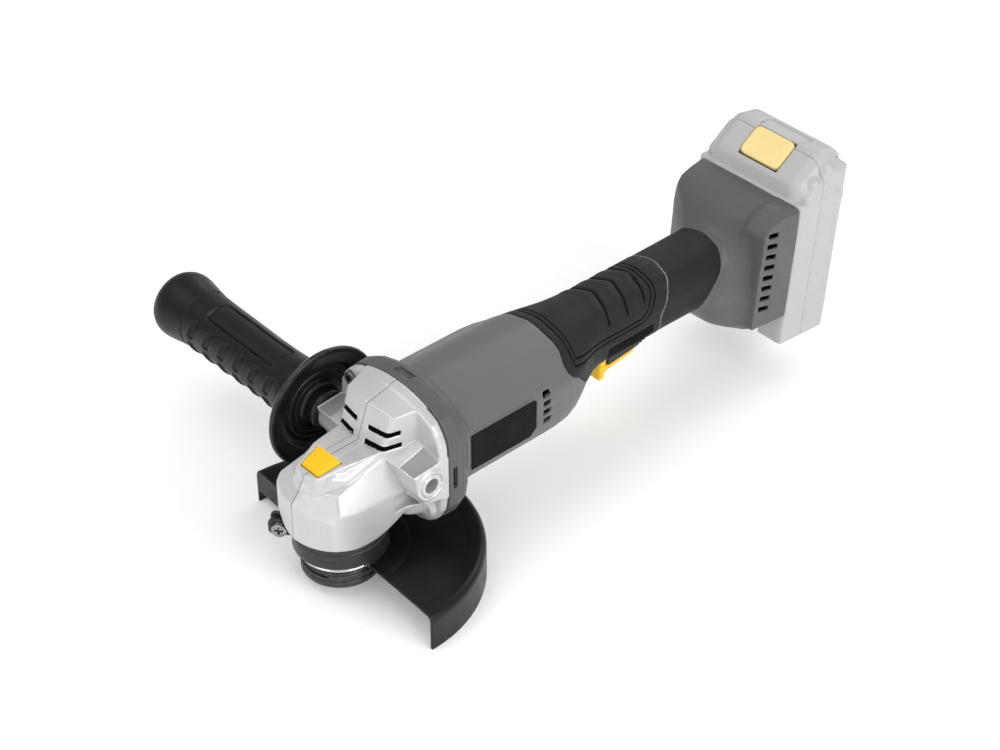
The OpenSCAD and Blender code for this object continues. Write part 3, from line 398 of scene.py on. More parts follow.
# Name: screen tone, roughness and what differs from the plain finish
LOOKS = {
    "cast_alloy": (204, 0.4, dict(metal=0.4, spread=0.03, blotch=45, grain=1500, depth=0.02, wear_and_highlight=0.7,
                                  worn_and_lit_tone=250, worn_rough=0.24, hollow_shade=0.6, rough_spread=0.05, midline_shade=0.8)),
    "alloy_satin": (158, 0.5, dict(metal=0.3, spread=0.05, grain=2600, depth=0.03)),
    "screw_steel": (120, 0.34, dict(STEEL, wear_and_highlight=0.5, worn_and_lit_tone=200)),
    "seal_rubber": (34, 0.7, dict(spread=0.15, grain=1400)),
    "bearing_steel": (190, 0.18, STEEL),
    "bronze": ((176, 128, 66), 0.32, STEEL),
    "machined_steel": (185, 0.26, dict(STEEL, scratches=0.3)),
    "bright_steel": (215, 0.22, dict(STEEL, scratches=0.2)),
    "blackened_steel": (62, 0.42, dict(metal=0.55, spread=0.14, blotch=70, grain=1200, depth=0.012,
                                       wear_and_highlight=0.6, worn_and_lit_tone=120, scratches=0.35)),
    "yellow_plastic": ((252, 199, 0), 0.38, dict(spread=0.05, grain=1700, depth=0.014, wear_and_highlight=0.3,
                                                 worn_and_lit_tone=(255, 212, 60))),
    "guard_paint": (11, 0.38, dict(spread=0.1, blotch=26, grain=1500, depth=0.02, wear_and_highlight=0.35, worn_and_lit_tone=70,
                                   scratches=0.35, specular=0.35)),
    "collar_steel": (46, 0.4, dict(metal=0.3, spread=0.08, grain=1300, depth=0.014, wear_and_highlight=0.5, worn_and_lit_tone=110)),
    "fan_plastic": (40, 0.5, dict(spread=0.1)),
    "core_steel": (120, 0.4, dict(STEEL, stretch=(1, 30, 1))),
    "copper": ((184, 96, 52), 0.3, STEEL),
    "motor_steel": (150, 0.35, STEEL),
    "ferrite": (50, 0.6, dict(spread=0.1)),
    "card_plastic": ((120, 84, 50), 0.55, {}),
    "contact_brass": ((205, 170, 92), 0.3, STEEL),
    "carbon": (36, 0.6, dict(spread=0.2, grain=1800)),
    "grey_plastic": (102, 0.48, dict(MOULDED, spread=0.03, worn_and_lit_tone=150)),
    "grip_rubber": (29, 0.6, dict(spread=0.06, blotch=24, grain=1500, depth=0.04, wear_and_highlight=0.3, worn_and_lit_tone=60,
                                  hollow_shade=0.9, sheen=0.03, specular=0.25)),
    "label_film": (12, 0.6, dict(specular=0.12, spread=0.06, grain=2400, depth=0.006)),
    "black_plastic": (40, 0.5, dict(spread=0.1, grain=1600, depth=0.025, wear_and_highlight=0.3, worn_and_lit_tone=80)),
    "circuit_board": ((24, 92, 54), 0.4, dict(spread=0.2, blotch=200)),
    "lead_insulation": ((150, 30, 26), 0.45, {}),
    "pack_plastic": (184, 0.45, dict(spread=0.03, blotch=20, grain=1800, depth=0.02, wear_and_highlight=0.25, worn_and_lit_tone=226,
                                     hollow_shade=0.4)),
    "pale_yellow_plastic": ((250, 224, 150), 0.42, dict(spread=0.04, grain=1700)),
    "cell_wrap": ((60, 110, 160), 0.35, dict(spread=0.05)),
    "handle_rubber": (14, 0.42, dict(spread=0.08, blotch=24, grain=1300, depth=0.035, wear_and_highlight=0.35, worn_and_lit_tone=70,
                                     hollow_shade=0.8, specular=0.3)),
    # Near-black used as painted shade inside slots, grooves and gaps
    "painted_shade_black": (7, 0.75, dict(spread=0.2, specular=0.15)),
    # Grey for the painted highlight on the sleeve's front edge
    "seam_highlight_grey": (120, 0.5, dict(spread=0.05)),
    "dark_grey_plastic": (84, 0.5, dict(MOULDED, worn_and_lit_tone=130)),
    "foot_grey": (88, 0.5, dict(MOULDED, worn_and_lit_tone=135)),
    "handle_black": (16, 0.34, dict(spread=0.1, grain=1500, depth=0.02, wear_and_highlight=0.35, worn_and_lit_tone=80)),
}
M = {name: finish(name, tone, rough, **more) for name, (tone, rough, more) in LOOKS.items()}

for part in frame["record"]["subparts"]:
    node = frame["nodes"].get(part["node"])
    if node is not None:
        dress(node, [part["material_slot"]])

# -------- gear head

# Half the front view of the flange, closed past the middle
FLANGE = [(0, 90.0), (9, 89.4), (17.2, 87.7), (26, 85.2), (31, 82.4), (34.6, 77.8), (37.2, 72.4), (38, 68),
          (38, 40), (36.6, 31), (33, 24.4), (28, 20.2), (21, 17.6), (12, 16.8), (0, 16.6), (-8, 16.6),
          (-8, 90)]


def flange_field(x, z):
    return outline(np.abs(x), z, FLANGE)


def button_plan(x, y, grow):
    """Plan of the lock button, or of its well when grow is its clearance."""
    ax = np.abs(x)
    side = edge(ax, y, (6.3 + grow, -15.8), (8.7 + grow, -3.5))
    return both(both(side, y + 3.5 - grow, 0.8), -15.8 - grow - y, 0.8)


def roof_line(y):
    """Height of the ridge along the nose."""
    return 58 + (y + 14) * 0.267


def head_top(y):
    """Height of the pad that the button stands in."""
    return HEAD_TOP + np.minimum(0, y + 4) * 0.27


def nose_field(x, y, z):
    """Nose of the head: a low part, a middle step on it and the pad round the button."""
    ax = np.abs(x)
    front = edge(ax, y, (0, -28.0), (11, -25.2)) + (z - 40) * 0.02
    wall = both(front, edge(ax, y, (11, -25.2), (22, -20.2)), 0.4)
    wall = both(wall, both(edge(ax, y, (22, -20.2), (HEAD_W, -12)), ax - HEAD_W, 2.0), 0.8)
    wall = both(wall, (np.hypot(x, y) - 24.2 - (z - 24) * 1.2) * 0.64, 1.2)
    wall = both(wall, both(24.1 - z, y - 36, 0.3), 0.5)
    slope = 1.24 + (y + 13) * 0.026
    side_roof = (z - 47.5 - (HEAD_W - ax) * slope) / np.sqrt(1 + slope * slope)
    front_roof = (z - 50 - 1.15 * (y + 27) + 0.56 * ax) / 1.62
    roof = both(side_roof, front_roof, 0.9)
    ridge = z - roof_line(y) + 2.6 + np.clip((14 - y) * -0.03, -1, 0)
    low = both(both(wall, roof, 0.35), ridge, 0.4)
    band = (z - roof_line(y) - (15.4 - ax) * 2.3) / 2.5
    shoulder = (z - roof_line(y) - (16 - ax) * 0.9) / 1.37
    shelf = z - head_top(y) + 1.3 * step(-y, 1.5, 5)
    plan = both(edge(ax, y, (0, -21.9), (6.5, -19.8)), edge(ax, y, (6.5, -19.8), (11.4, -15.0)), 0.5)
    plan = both(plan, edge(ax, y, (11.4, -15.0), (17, -4.0)), 0.8)
    mid = both(both(band, shoulder, 0.4), both(front_roof - 1.7 / 1.62, shelf, 0.5), 0.4)
    mid = both(both(mid, plan + (z - 58) * 0.25, 0.5), both(45 - z, y - 36), 0.3)
    pad = both(edge(ax, y, (0, -19.6), (8.0, -17.2)), edge(ax, y, (8.0, -17.2), (12.6, -2)), 0.8)
    pad = both(pad + (z - head_top(y)) * 0.35, z - head_top(y), 0.5)
    pad = both(pad, both(50 - z, y - 30), 0.3)
    pad = both(pad, ax - 12.6 - np.clip((y + 2) * 0.16, 0, 3), 0.5)
    return either(either(low, mid, 0.4), pad, 0.3)


def dome_top(x, y, z):
    """Roof that the dome shares with the flange behind it."""
    lift = 85.3 + (y - 20.3) * 0.235
    crown = 0.0039 + np.clip(y - 20, 0, 18) * 0.00021
    return (z - lift + crown * x * x) * 0.96


def dome_front(x, z):
    """Where the dome's front face lies in y."""
    return 13.6 + (z - 67) * 0.36 + np.abs(x) * 0.1


def dome_field(x, y, z):
    ax = np.abs(x)
    front = (dome_front(x, z) - y) * 0.93
    side = (ax - 17.5 - (y - 22) * 0.285 - (84 - z) * 0.05) * 0.96
    d = both(both(front, side, 1.8), dome_top(x, y, z), 0.6)
    return both(d, both(56 - z, y - 38.9), 0.3)


def shelf_z(x, y):
    """Height of the shelf over the side handle's boss."""
    return 62.3 + (y - 17) * 0.08 + (37 - np.abs(x)) * (0.03 + np.clip(y - 17, 0, 20) * 0.018)


def block_field(x, y, z):
    ax = np.abs(x)
    face = (17.0 + (62 - z) * 0.28 + (ax - 24.5) * 0.06 - y) * 0.95
    d = both(face, ax - 37.4, 1.2)
    d = both(d, z - shelf_z(x, y), 0.6)
    d = both(d, (42.5 - (y - 18) * 0.22 - z) * 0.98, 2.4)
    d = both(d, both(10 - ax, y - 38.9), 0.3)
    boss = rod(y, z, ax, BOSS[1], BOSS[2], 8.3, 15, BOSS[0], 0.9)
    return either(d, boss, 1.4)


def head_outside(x, y, z):
    ax = np.abs(x)
    d = either(nose_field(x, y, z), dome_field(x, y, z), 0.6)
    d = either(d, block_field(x, y, z), 0.6)
    rim = both(flange_field(x, z) + 0.5, between(y, 33.4, FLANGE_Y - 0.05), 1.6)
    rim = both(rim, dome_top(x, y, z), 1.0)
    neck = both(both(ax - 30.5, between(z, 27, 60), 6), between(y, 22, 38), 3)
    neck = both(neck, ax - 24.6 - np.maximum(0, y - 24) * 0.75, 3)
    d = either(either(d, neck, 2.0), rim, 1.0)
    foot_lobe = both(ring(ax, z, 5.6, 28, 30), between(y, 31, 38), 1.5)
    return either(d, foot_lobe, 2)


# Air slots of the dome: their lower edges and height
SLOT_LOW = (66.3, 73.3)
SLOT_H = 2.7


def head_field(x, y, z):
    ax = np.abs(x)
    skin = head_outside(x, y, z)
    d = groove(skin, np.where(y > -17, ax, 9), 1.1, 0.35)
    # Panel sunk into the shelf over the side handle's boss
    panel = both(both(between(ax, 26.0, 36.4), between(y, 17.9, 33.0), 0.3), shelf_z(x, y) - 0.6 - z, 0.1)
    d = cut(d, panel, 0.25)
    # Ring groove and socket of the boss
    r = np.hypot(y - BOSS[1], z - BOSS[2])
    d = cut(d, both(np.abs(r - 6.4) - 0.45, BOSS[0] - 0.5 - ax), 0.25)
    d = cut(d, both(r - 4.0, BOSS[0] - 13 - ax), 0.35)
    # Air slots that wrap round the dome's front corners
    for low in SLOT_LOW:
        slot = both(both(4.2 - ax, y - 25.6, 0.5), between(z - 0.05 * (ax - 4), low, low + SLOT_H), 0.5)
        d = cut(d, both(slot, -(dome_field(x, y, z) + 3.2)), 0.35)
    # Button well with a shallow lead-in
    d = cut(d, both(button_plan(x, y, 0.45), 58 - z), 0.25)
    # Working space inside
    d = cut(d, both(rod(x, y, z, 0, 0, 21.35, 20, 52.6, 0.4), skin + np.where(z > 30, 2.0, -9)))
    d = cut(d, rod(x, z, y, 0, MOTOR_Z, 8, 9.5, 26))
    d = cut(d, rod(x, z, y, 0, MOTOR_Z, 11.12, 24.5, 33))
    d = cut(d, both(rod(x, z, y, 0, MOTOR_Z, 27, 32.5, 42), np.where(y > 36, -9, skin + 1.4)))
    d = cut(d, rod(x, y, z, 0, 0, 6.1, 50, 57.5))
    d = cut(d, rod(x, y, z, 0, LOCK_PIN_Y, 2.15, 50, 62))
    for place in (TOP_SCREW, *LOW_SCREWS):
        d = cut(d, rod(x, z, y, *place, 2.4, 20, 42))
        d = cut(d, rod(x, z, y, *place, 4.1, 16, 35), 0.3)
    return d


def head_shade(x, y, z):
    """Satin panel on the boss; painted shade inside the air slots."""
    ax = np.abs(x)
    on = (ax > 26.1) & (ax < 36.3) & (y > 18.0) & (y < 32.9) & (z > 60) & (z < shelf_z(x, y) - 0.4)
    shaded_slots = (dome_field(x, y, z) < -0.6) & (ax > 4) & (y < 30) & (z > 65.5) & (z < 77.5)
    return np.where(on, 1, np.where(shaded_slots, 2, 0))


solid("gear_head", head_field, (-39.5, -30, 16), (39.5, 39.4, 91), 0.5, "tool", "cast_alloy",
      "gear_housing", ["cast_alloy", "alloy_satin", "painted_shade_black"], keep=0.45, pick=head_shade)


def button_field(x, y, z):
    d = both(button_plan(x, y, 0.0), z - head_top(y) - 1.3, 0.9)
    d = both(d, z - 68.2 - (y + 3.5) * 0.27 + 0.012 * x * x, 0.9)
    d = both(d, 61.6 - z, 0.3)
    # Room for the spring round the pin, which the cap goes down over when it is pressed
    r = np.hypot(x, y - LOCK_PIN_Y)
    return cut(d, both(both(r - 3.75, 2.4 - r), z - 64.7 - (y + 13) * 0.25))


solid("lock_button_cap", button_field, (-9.5, -17, 61), (9.5, -2.5, 69.5), 0.3, "lock_button",
      "yellow_plastic", "spindle_lock_button")

# -------- spindle, flange, nut and neck


def turned(x, y, z, profile):
    """Field of a shape turned about Z from its outline as (radius, height)."""
    return outline(np.hypot(x, y), z, profile)


def spindle_field(x, y, z):
    r = np.hypot(x, y)
    pitch = 2.0
    turn = np.arctan2(y, x) / (2 * math.pi)
    phase = np.abs(np.mod(z / pitch - turn, 1.0) - 0.5) * 2
    lift = step(z, -10.2, -8.6) * step(-z, -6.8, -5.6)
    thread = r - 6.95 + 0.95 * np.clip(phase * 1.25 - 0.1, 0, 1) * lift
    thread = thread + 0.9 * (1 - step(z, -10.4, -9.0))
    d = both(thread * 0.8, between(z, -10, 7), 0.3)
    d = cut(d, rod(x, y, z, 0, 0, 2.4, -12, -7.5, 0.2), 0.3)
    for radius, low, high in ((8.95, 6.75, 14.45), (6, 13, 48.4), (4, 48, 56.9), (8.15, 24.7, 37.85)):
        d = either(d, rod(x, y, z, 0, 0, radius, low, high, 0.25))
    return d


solid("output_spindle", spindle_field, (-9.2, -9.2, -10.2), (9.2, 9.2, 57), 0.3, "spindle",
      "machined_steel", "spindle", keep=0.3)

FLANGE_DISC = [(7.05, -2), (10.5, -2), (11, -1.5), (11, 0.15), (11.4, 0.3), (19.4, 0), (19.8, 0.4),
               (19.8, 3.4), (19.1, 3.7), (19.1, 4.2), (19.7, 4.5), (19.7, 5.0), (19.2, 5.4), (11.3, 5.4),
               (11, 5.7), (11, 7.25), (9.02, 7.3), (9.02, 6.6), (7.05, 6.5)]


def flange_disc_field(x, y, z):
    d = turned(x, y, z, FLANGE_DISC)
    flats = both(16.2 - np.abs(y), both(1.6 - z, z - 3.2), 0.2)
    return cut(d, flats, 0.2)


solid("backing_flange", flange_disc_field, (-20, -20, -2.1), (20, 20, 7.4), 0.34, "spindle",
      "blackened_steel", "inner_flange")

NUT = [(7.1, -4.45), (18.6, -4.5), (20.0, -3.4), (20.2, -2.9), (20.2, -1.2), (19.5, -0.2), (19.1, -0.07),
       (12.5, -0.07), (12.5, -2.3), (8.6, -2.3), (7.1, -2.5)]


def nut_field(x, y, z):
    d = turned(x, y, z, NUT)
    ax, ay = np.abs(x), np.abs(y)
    holes = both(ring(ax, ay, 2.45, 10.6, 10.6), z + 1.6)
    d = cut(d, both(holes, z + 1.3), 0.3)
    d = cut(d, both(both(8.9 - np.hypot(x, y), np.hypot(x, y) - 9.6, 0.1), z + 4.1), 0.2)
    return d


solid("clamp_nut_ring", nut_field, (-20.4, -20.4, -4.7), (20.4, 20.4, 0), 0.34, "clamp_nut",
      "blackened_steel", "clamp_nut")

COVER = [(11.55, 7.45), (20.9, 7.45), (21.3, 7.9), (21.3, 8.6), (20.9, 8.9), (20.9, 9.3), (21.75, 9.7),
         (21.75, 23.75), (21.2, 23.75), (21.2, 26.7), (16.03, 26.7), (16.03, 14.5), (11.55, 14.5)]


def cover_field(x, y, z):
    return turned(x, y, z, COVER)


solid("neck_cover", cover_field, (-22, -22, 7.2), (22, 22, 27), 0.4, "tool", "machined_steel",
      "bearing_cover", ["bright_steel"])

# -------- guard

GUARD_TOP = 9.7
GUARD_LOW = -11.3
SHEET = 1.5
# Where the guard's sheet ends on each side, and where the clamp's ears stand
NEAR_A = math.radians(-2.2)
FAR_A = math.radians(178)
EAR_A = math.radians(219.6)


def turn_to(x, y, angle):
    c, s = math.cos(angle), math.sin(angle)
    return x * c + y * s, -x * s + y * c


def guard_plan(x, y):
    """Negative over the closed side of the guard."""
    near = np.where(x > 22, -turn_to(x, y, NEAR_A)[1], edge(x, y, (0, 0), (22, 3.6)))
    far = np.where(x < -22, turn_to(x, y, FAR_A)[1], edge(x, y, (-22, 3), (0, 0)))
    return np.where(x > 0, near, far)


def guard_field(x, y, z):
    r = np.hypot(x, y)
    outer = both(r - GUARD_R, z - GUARD_TOP, 4.0)
    inner = both(r - GUARD_R + SHEET, z - GUARD_TOP + SHEET, 2.6)
    lip = either(inner, both(r - GUARD_R + 2.2, z - GUARD_LOW - 3, 0.8), 0.8)
    shell = cut(outer, lip, 0.35)
    # Pressed step round the collar and a shallow stiffening ring
    shell = both(shell, 23.78 - r, 0.3)
    shell = shell + 0.35 * (step(r, 33, 35) - step(r, 62, 64)) * step(z, 7, 8)
    shell = both(shell, guard_plan(x, y), 0.4)
    shell = both(shell, GUARD_LOW - z, 0.4)
    u, v = turn_to(x, y, FAR_A)
    fold = both(both(between(u, 36, 70.6), between(v, -SHEET, 0), 0.4), between(z, -4.8, 8.9), 0.8)
    return either(shell, fold, 0.5)


solid("guard_dish", guard_field, (-73, -5, -12), (73, 73, 10.5), 0.55, "guard", "guard_paint",
      "guard_shell", keep=0.4)

BAND_LOW, BAND_HIGH, BAND_R = 8.25, 23.35, 23.7
EAR_TOP = 22.3
ARROW = [(-7.5, 0), (-3.2, 2.6), (-3.2, 0.9), (7.5, 0.9), (7.5, -0.9), (-3.2, -0.9), (-3.2, -2.6)]


def band_field(x, y, z):
    r = np.hypot(x, y)
    d = both(r - BAND_R, between(z, BAND_LOW, BAND_HIGH), 0.5)
    d = groove(d, z - 20.6, 1.3, 0.55)
    # Lower edge set back over the open side of the guard
    d = cut(d, both(z - 11.4, y + 1.5), 0.4)
    # Arrow that shows which way the spindle turns
    turn = np.mod(np.arctan2(y, x) + math.radians(54) + math.pi, 2 * math.pi) - math.pi
    along_u = turn * BAND_R
    arrow = outline(along_u * 1.7, (z - 16.4) * 1.5, ARROW)
    d = d + 0.34 * step(-arrow, -0.25, 0.25) * np.where(np.abs(along_u) < 12, 1, 0)
    u, v = turn_to(x, y, EAR_A)
    ears = both(both(between(u, NECK_R - 1.5, NECK_R + 13.4), np.abs(np.abs(v) - 2.7) - 0.9, 0.3),
                between(z, EAR_TOP - 9.5, EAR_TOP), 0.3)
    corner = np.hypot(np.maximum(u - NECK_R - 10.4, 0), np.maximum(np.abs(z - EAR_TOP + 4.75) - 1.75, 0)) - 3
    ears = both(ears, corner, 0.3)
    d = either(d, ears, 0.9)
    d = both(d, NECK_R + 0.1 - r, 0.2)
    d = cut(d, both(np.abs(v) - 1.5, 10 - u))
    d = cut(d, both(ring(u, z, 2.1, 29.2, EAR_TOP - 4.7), np.abs(v) - 6), 0.2)
    return d


solid("guard_collar", band_field, (-31, -27, 8), (25, 25, 23.6), 0.4, "guard", "collar_steel",
      "guard_band", keep=0.4)

# -------- motor housing, grip and foot

# Cross sections: y, half width, top, bottom, x and z of the crease between roof and facet, and
# z of the facet's lower edge
BODY = [
    (HOUSING_Y, BODY_W, 82.6, 28.6, 22.0, 75.4, 66.8),
    (60, BODY_W, 82.0, 29.0, 22.0, 75.2, 66.6),
    (108, BODY_W, 81.3, 29.2, 22.0, 75.0, 66.4),
    (116, BODY_W - 0.3, 81.0, 29.3, 21.8, 74.9, 65.8),
    (124, BODY_W - 1.4, 80.7, 29.8, 21.0, 74.8, 64.6),
    (131, BODY_W - 3.8, 80.4, 31.4, 19.6, 74.7, 64.0),
    (138, BODY_W - 7.2, 80.1, 34.4, 18.0, 74.5, 64.2),
    (145, BODY_W - 11.0, 79.8, 38.2, 16.4, 74.3, 65.0),
    (151, GRIP_W + 1.9, 79.6, 41.2, 15.4, 74.2, 66.0),
    (158, GRIP_W + 0.4, 79.4, 42.8, 14.8, 74.1, 66.8),
    (168, GRIP_W, 79.2, 43.0, 14.5, 74.0, 67.0),
    (GRIP_END, GRIP_W, 79.0, 43.0, 14.5, 74.0, 67.0),
    (SLEEVE_END, GRIP_W + 0.5, 79.5, 42.5, 14.7, 74.3, 67.2),
]
FOOT = [
    (249, 20, 79.5, 42.5, 14.7, 74.3, 67.2), (252, 20.6, 80.3, 40.6, 16.2, 75.6, 68.6),
    (254.5, 22.4, 82.1, 37.4, 18.8, 78.0, 71.2), (257, 25.2, 84.6, 33.6, 22.2, 81.4, 75),
    (259.5, 29.0, 87.4, 30.6, 26.0, 85.2, 79), (262, 32.6, 90.0, 28.6, 29.6, 88.6, 83),
    (264.5, 34.2, 92.0, 27.8, 31.8, 91.0, 86), (268, 34.8, 93.8, 27.4, 33.0, 93, 88.6),
    (275, 35.0, 95.2, 27, 33.6, 94.6, 90.6), (286, 35.4, 96.6, 26.6, 34.2, 96.0, 92.2),
]
# Side view of the rubber overmould
GRIP_SIDE = [(126.6, 95), (126.6, 74), (124.4, 70), (124, 67), (126, 64.4), (131, 61), (136, 55.5), (142, 49),
             (148, 45.5), (166, 47.5), (166, 30), (213, 30), (213, 95)]
# Side view of the pad that the double groove frames
PAD = [(131.8, 110), (131.8, 72), (130.8, 66.4), (139, 64.0), (149, 62.0), (158, 61.2), (172, 60.8),
       (187, 61.0), (192.5, 63.6), (199.3, 71.4), (200.6, 76), (200.6, 110)]
# Side view of the ribbed panel over the trigger's edge
RIBS = [(162, 45.6), (162.6, 56.2), (195.4, 56.8), (196.4, 52), (184, 45.4), (168, 46.4)]
# Folds across the pad: where each starts on top and how much it leans
FOLDS = ((168.4, 0.25), (182.0, 0.27), (194.6, 0.25))
# Side view of the rating plate
LABEL = [(55.4, 45.6), (94, 45.6), (98.1, 49.5), (98.1, 65.5), (97, 66.5), (56.4, 66.5), (55.4, 65.5)]
# Thickness of the rubber and of the wall under it
RUBBER = 1.6
WALL = 2.2
# Lower edges of the air slots in the housing
VENTS = [48.2 + 5.2 * i for i in range(4)]


def along(y, rows, column):
    return np.interp(y, [r[0] for r in rows], [r[column] for r in rows])


def body_field(x, y, z, rows=BODY):
    ax = np.abs(x)
    w, top, low, cx, cz, fz = [along(y, rows, c) for c in range(1, 7)]
    u = (np.sqrt(ax * ax + 16) - 4) / cx
    crown = (z - top + (top - cz) * (0.2 * u * u + 0.8 * u)) * 0.97
    run, fall = w - cx, cz - fz
    facet = ((ax - cx) * fall + (z - cz) * run) / np.hypot(run, fall)
    upper = both(crown, facet, 1.2)
    r = np.minimum(w * 0.62, (top - low) * 0.42)
    if rows is FOOT:
        r = r + (6 - r) * step(y, 252, 266)
        low = low - 9 * step(y, 251, 264) * (1 - np.clip(ax / 36, 0, 1) ** 2)
    side = both(ax - w, low - z, r)
    return both(upper, side, 2.6)


def leaning(y, z):
    """y measured from the slanted joint between the sleeve and the foot."""
    lean = -9 + 0.65 * (np.clip(z, 48, 82) - 61)
    return y - lean * step(-y, -268, -232)


def seam_y(z):
    """Where the rubber ends and the sleeve starts."""
    return GRIP_END - 0.56 * np.clip(79.5 - z, 0, 21)


def trigger_slot(x, y, z):
    return both(both(np.abs(x) - 9, between(y, 164.5, 213), 0.4), z - 55, 0.4)


def housing_field(x, y, z):
    ax = np.abs(x)
    body = body_field(x, y, z)
    grip = outline(y, z, GRIP_SIDE)
    frame_line = outline(y, z, LABEL)
    d = groove(body, np.where(ax > 30, frame_line - 0.55, 9), 0.9, 0.35)
    d = groove(d, y - 56.2, 0.9, 0.35)
    d = cut(d, both(grip - 0.1, -(body + RUBBER + 0.05)), 0.3)
    d = both(d, between(y, HOUSING_Y, GRIP_END - 0.1), 0.6)
    room = both(body + RUBBER + WALL, HOUSING_Y + 2.2 - y, 0.5)
    d = cut(d, room)
    d = cut(d, rod(x, z, y, 0, MOTOR_Z, 21.7, 50, 58))
    d = cut(d, trigger_slot(x, y, z))
    for low in VENTS:
        slot = both(between(y - 0.12 * (z - low), 103, 108.2), between(z, low, low + 3.2), 1.0)
        d = cut(d, both(slot, 25 - ax), 0.35)
    for place in LOW_SCREWS:
        d = cut(d, rod(x, z, y, *place, 1.95, 50, 70))
    lugs = both(between(ax, 9.1, 12.5), both(between(y, 204.5, 210.5), between(z, 44.8, 50)), 0.3)
    d = either(d, lugs)
    return cut(d, rod(y, z, x, *TRIGGER_PIN, 1.52, -16, 16))


def housing_shade(x, y, z):
    # Painted shade on the faces behind the outer wall: the air slots' sides and the inside
    inside = (body_field(x, y, z) < -1.7) & (outline(y, z, GRIP_SIDE) > 0)
    return np.where(inside, 1, 0)


solid("motor_case", housing_field, (-35.6, 52.5, 28), (35.6, 213, 83.5), 0.6, "tool", "grey_plastic",
      "motor_housing", ["grey_plastic", "painted_shade_black"], keep=0.3, pick=housing_shade)

def rubber_field(x, y, z):
    ax = np.abs(x)
    body = body_field(x, y, z)
    grip = outline(y, z, GRIP_SIDE)
    pad = outline(y, z, PAD)
    top = body - 0.22
    top = groove(top, pad, 1.7, 0.85)
    top = groove(top, pad + 2.7, 1.5, 0.75)
    ribbed = both(outline(y, z, RIBS), 8 - ax)
    top = top + step(-ribbed, 0, 0.5) * (0.45 + 0.3 * np.sin(y * 2.6))
    fade = step(z, 67.5, 71.0) * step(-pad, 4.5, 6)
    for start, lean in FOLDS:
        line = y - start + lean * ax
        scallop = np.clip(1 - np.abs(line - 1.2) / 2.4, 0, 1)
        top = top + fade * (1.0 * scallop * scallop - 0.35 * np.clip(1 - np.abs(line + 3.5) / 3.5, 0, 1))
    top = np.minimum(top, body + 1.1)
    d = both(top, grip, 0.9)
    d = both(d, y - seam_y(z) + 0.12, 0.35)
    d = both(d, -(body + RUBBER))
    return cut(d, trigger_slot(x, y, z), 0.3)


def rubber_shade(x, y, z):
    pad = outline(y, z, PAD)
    # Painted shade in the pad's two grooves and along the folds; the ribbed panel is painted the same
    # near-black
    dark = (np.abs(pad) < 0.42) | (np.abs(pad + 2.7) < 0.42)
    dark = dark | (both(outline(y, z, RIBS), 8 - np.abs(x)) < -0.1)
    for start, lean in FOLDS:
        line = y - start + lean * np.abs(x)
        dark = dark | ((np.abs(line - 1.2) < 0.7) & (z > 69) & (pad < -5.4))
    return np.where(dark, 1, 0)


solid("grip_overmould", rubber_field, (-35.6, 122, 42), (35.6, 213, 81), 0.5, "tool", "grip_rubber",
      "rubber_grip", ["grip_rubber", "painted_shade_black"], keep=0.4, pick=rubber_shade)


def sleeve_field(x, y, z):
    body = body_field(x, y, z)
    d = both(body, -(body + RUBBER))
    d = both(d, seam_y(z) + 0.12 - y, 0.35)
    d = both(d, leaning(y, z) - SLEEVE_END + 0.1, 0.4)
    return cut(d, trigger_slot(x, y, z), 0.3)


def sleeve_edge_highlight(x, y, z):
    # Painted highlight: a lighter grey band along the sleeve's front edge at the seam
    return np.where(y - seam_y(z) < 0.75, 1, 0)


solid("neck_sleeve", sleeve_field, (-20.8, 199, 41.8), (20.8, 254.5, 80), 0.5, "tool", "grip_rubber",
      "rear_sleeve", ["grip_rubber", "seam_highlight_grey"], pick=sleeve_edge_highlight)


def rails(y, z):
    """Depth behind the foot and height along the battery rails."""
    dy, dz = y - FOOT_Y, z - FOOT_TOP
    c, s = math.cos(RAIL_TILT), math.sin(RAIL_TILT)
    return dy * c - dz * s, dy * s + dz * c


# Flat side plate of the foot, as depth and height along the rails
FOOT_PLATE = [(-25.5, -66), (2, -66), (2, -1.2), (-10, -1.6), (-20, -4), (-25.5, -9)]
FOOT_VENTS = -56 + 6.45 * np.arange(8)
VENT_LONG = 7.8


def foot_slots(x, y, z):
    """Air slots on both sides of the foot, further back on the far side."""
    depth, height = rails(y, z)
    start = np.where(x > 0, -22.6, -15.6)
    rungs = [between(height + 0.14 * depth, low - 2.5, low + 0.3) for low in FOOT_VENTS]
    slots = both(between(depth, start, start + VENT_LONG), np.minimum.reduce(rungs), 0.5)
    return both(slots, 29 - np.abs(x))


def foot_field(x, y, z):
    ax = np.abs(x)
    depth, height = rails(y, z)
    out = leaning(y, z)
    flare = both(body_field(x, out, z, FOOT) * 0.8, 249.05 - out, 0.4)
    flare = both(flare, depth, 0.8)
    plate = both(outline(depth, height, FOOT_PLATE), x - PACK_W, 0.7)
    flare = either(flare, both(plate, both(22 - x, depth), 0.4), 3.5)
    neck = both(body_field(x, y, z) + RUBBER + 0.12, between(y, GRIP_END + 0.3, 252), 0.2)
    spigot = box(ax, y, z, (-20, GRIP_END - 5, 51), (13.4, 218, 69.5), 0.4)
    d = either(either(flare, neck), spigot)
    w = np.interp(y, [249, 266], [11.2, 30])
    h = np.interp(y, [249, 266], [7.1, 24])
    mid = np.interp(y, [249, 266], [60.3, 58])
    room = both(both(ax - w, np.abs(z - mid) - h, 1.0), y - 275, 0.5)
    d = cut(d, room)
    d = cut(d, foot_slots(x, y, z), 0.3)
    rail = both(both(ax - 20, between(depth, -1, 5)), between(height, -80, -9), 0.3)
    tongue = both(both(ax - 26, between(depth, 4.2, 9), 0.4), between(height, -80, -9), 0.4)
    return either(d, either(rail, tongue))


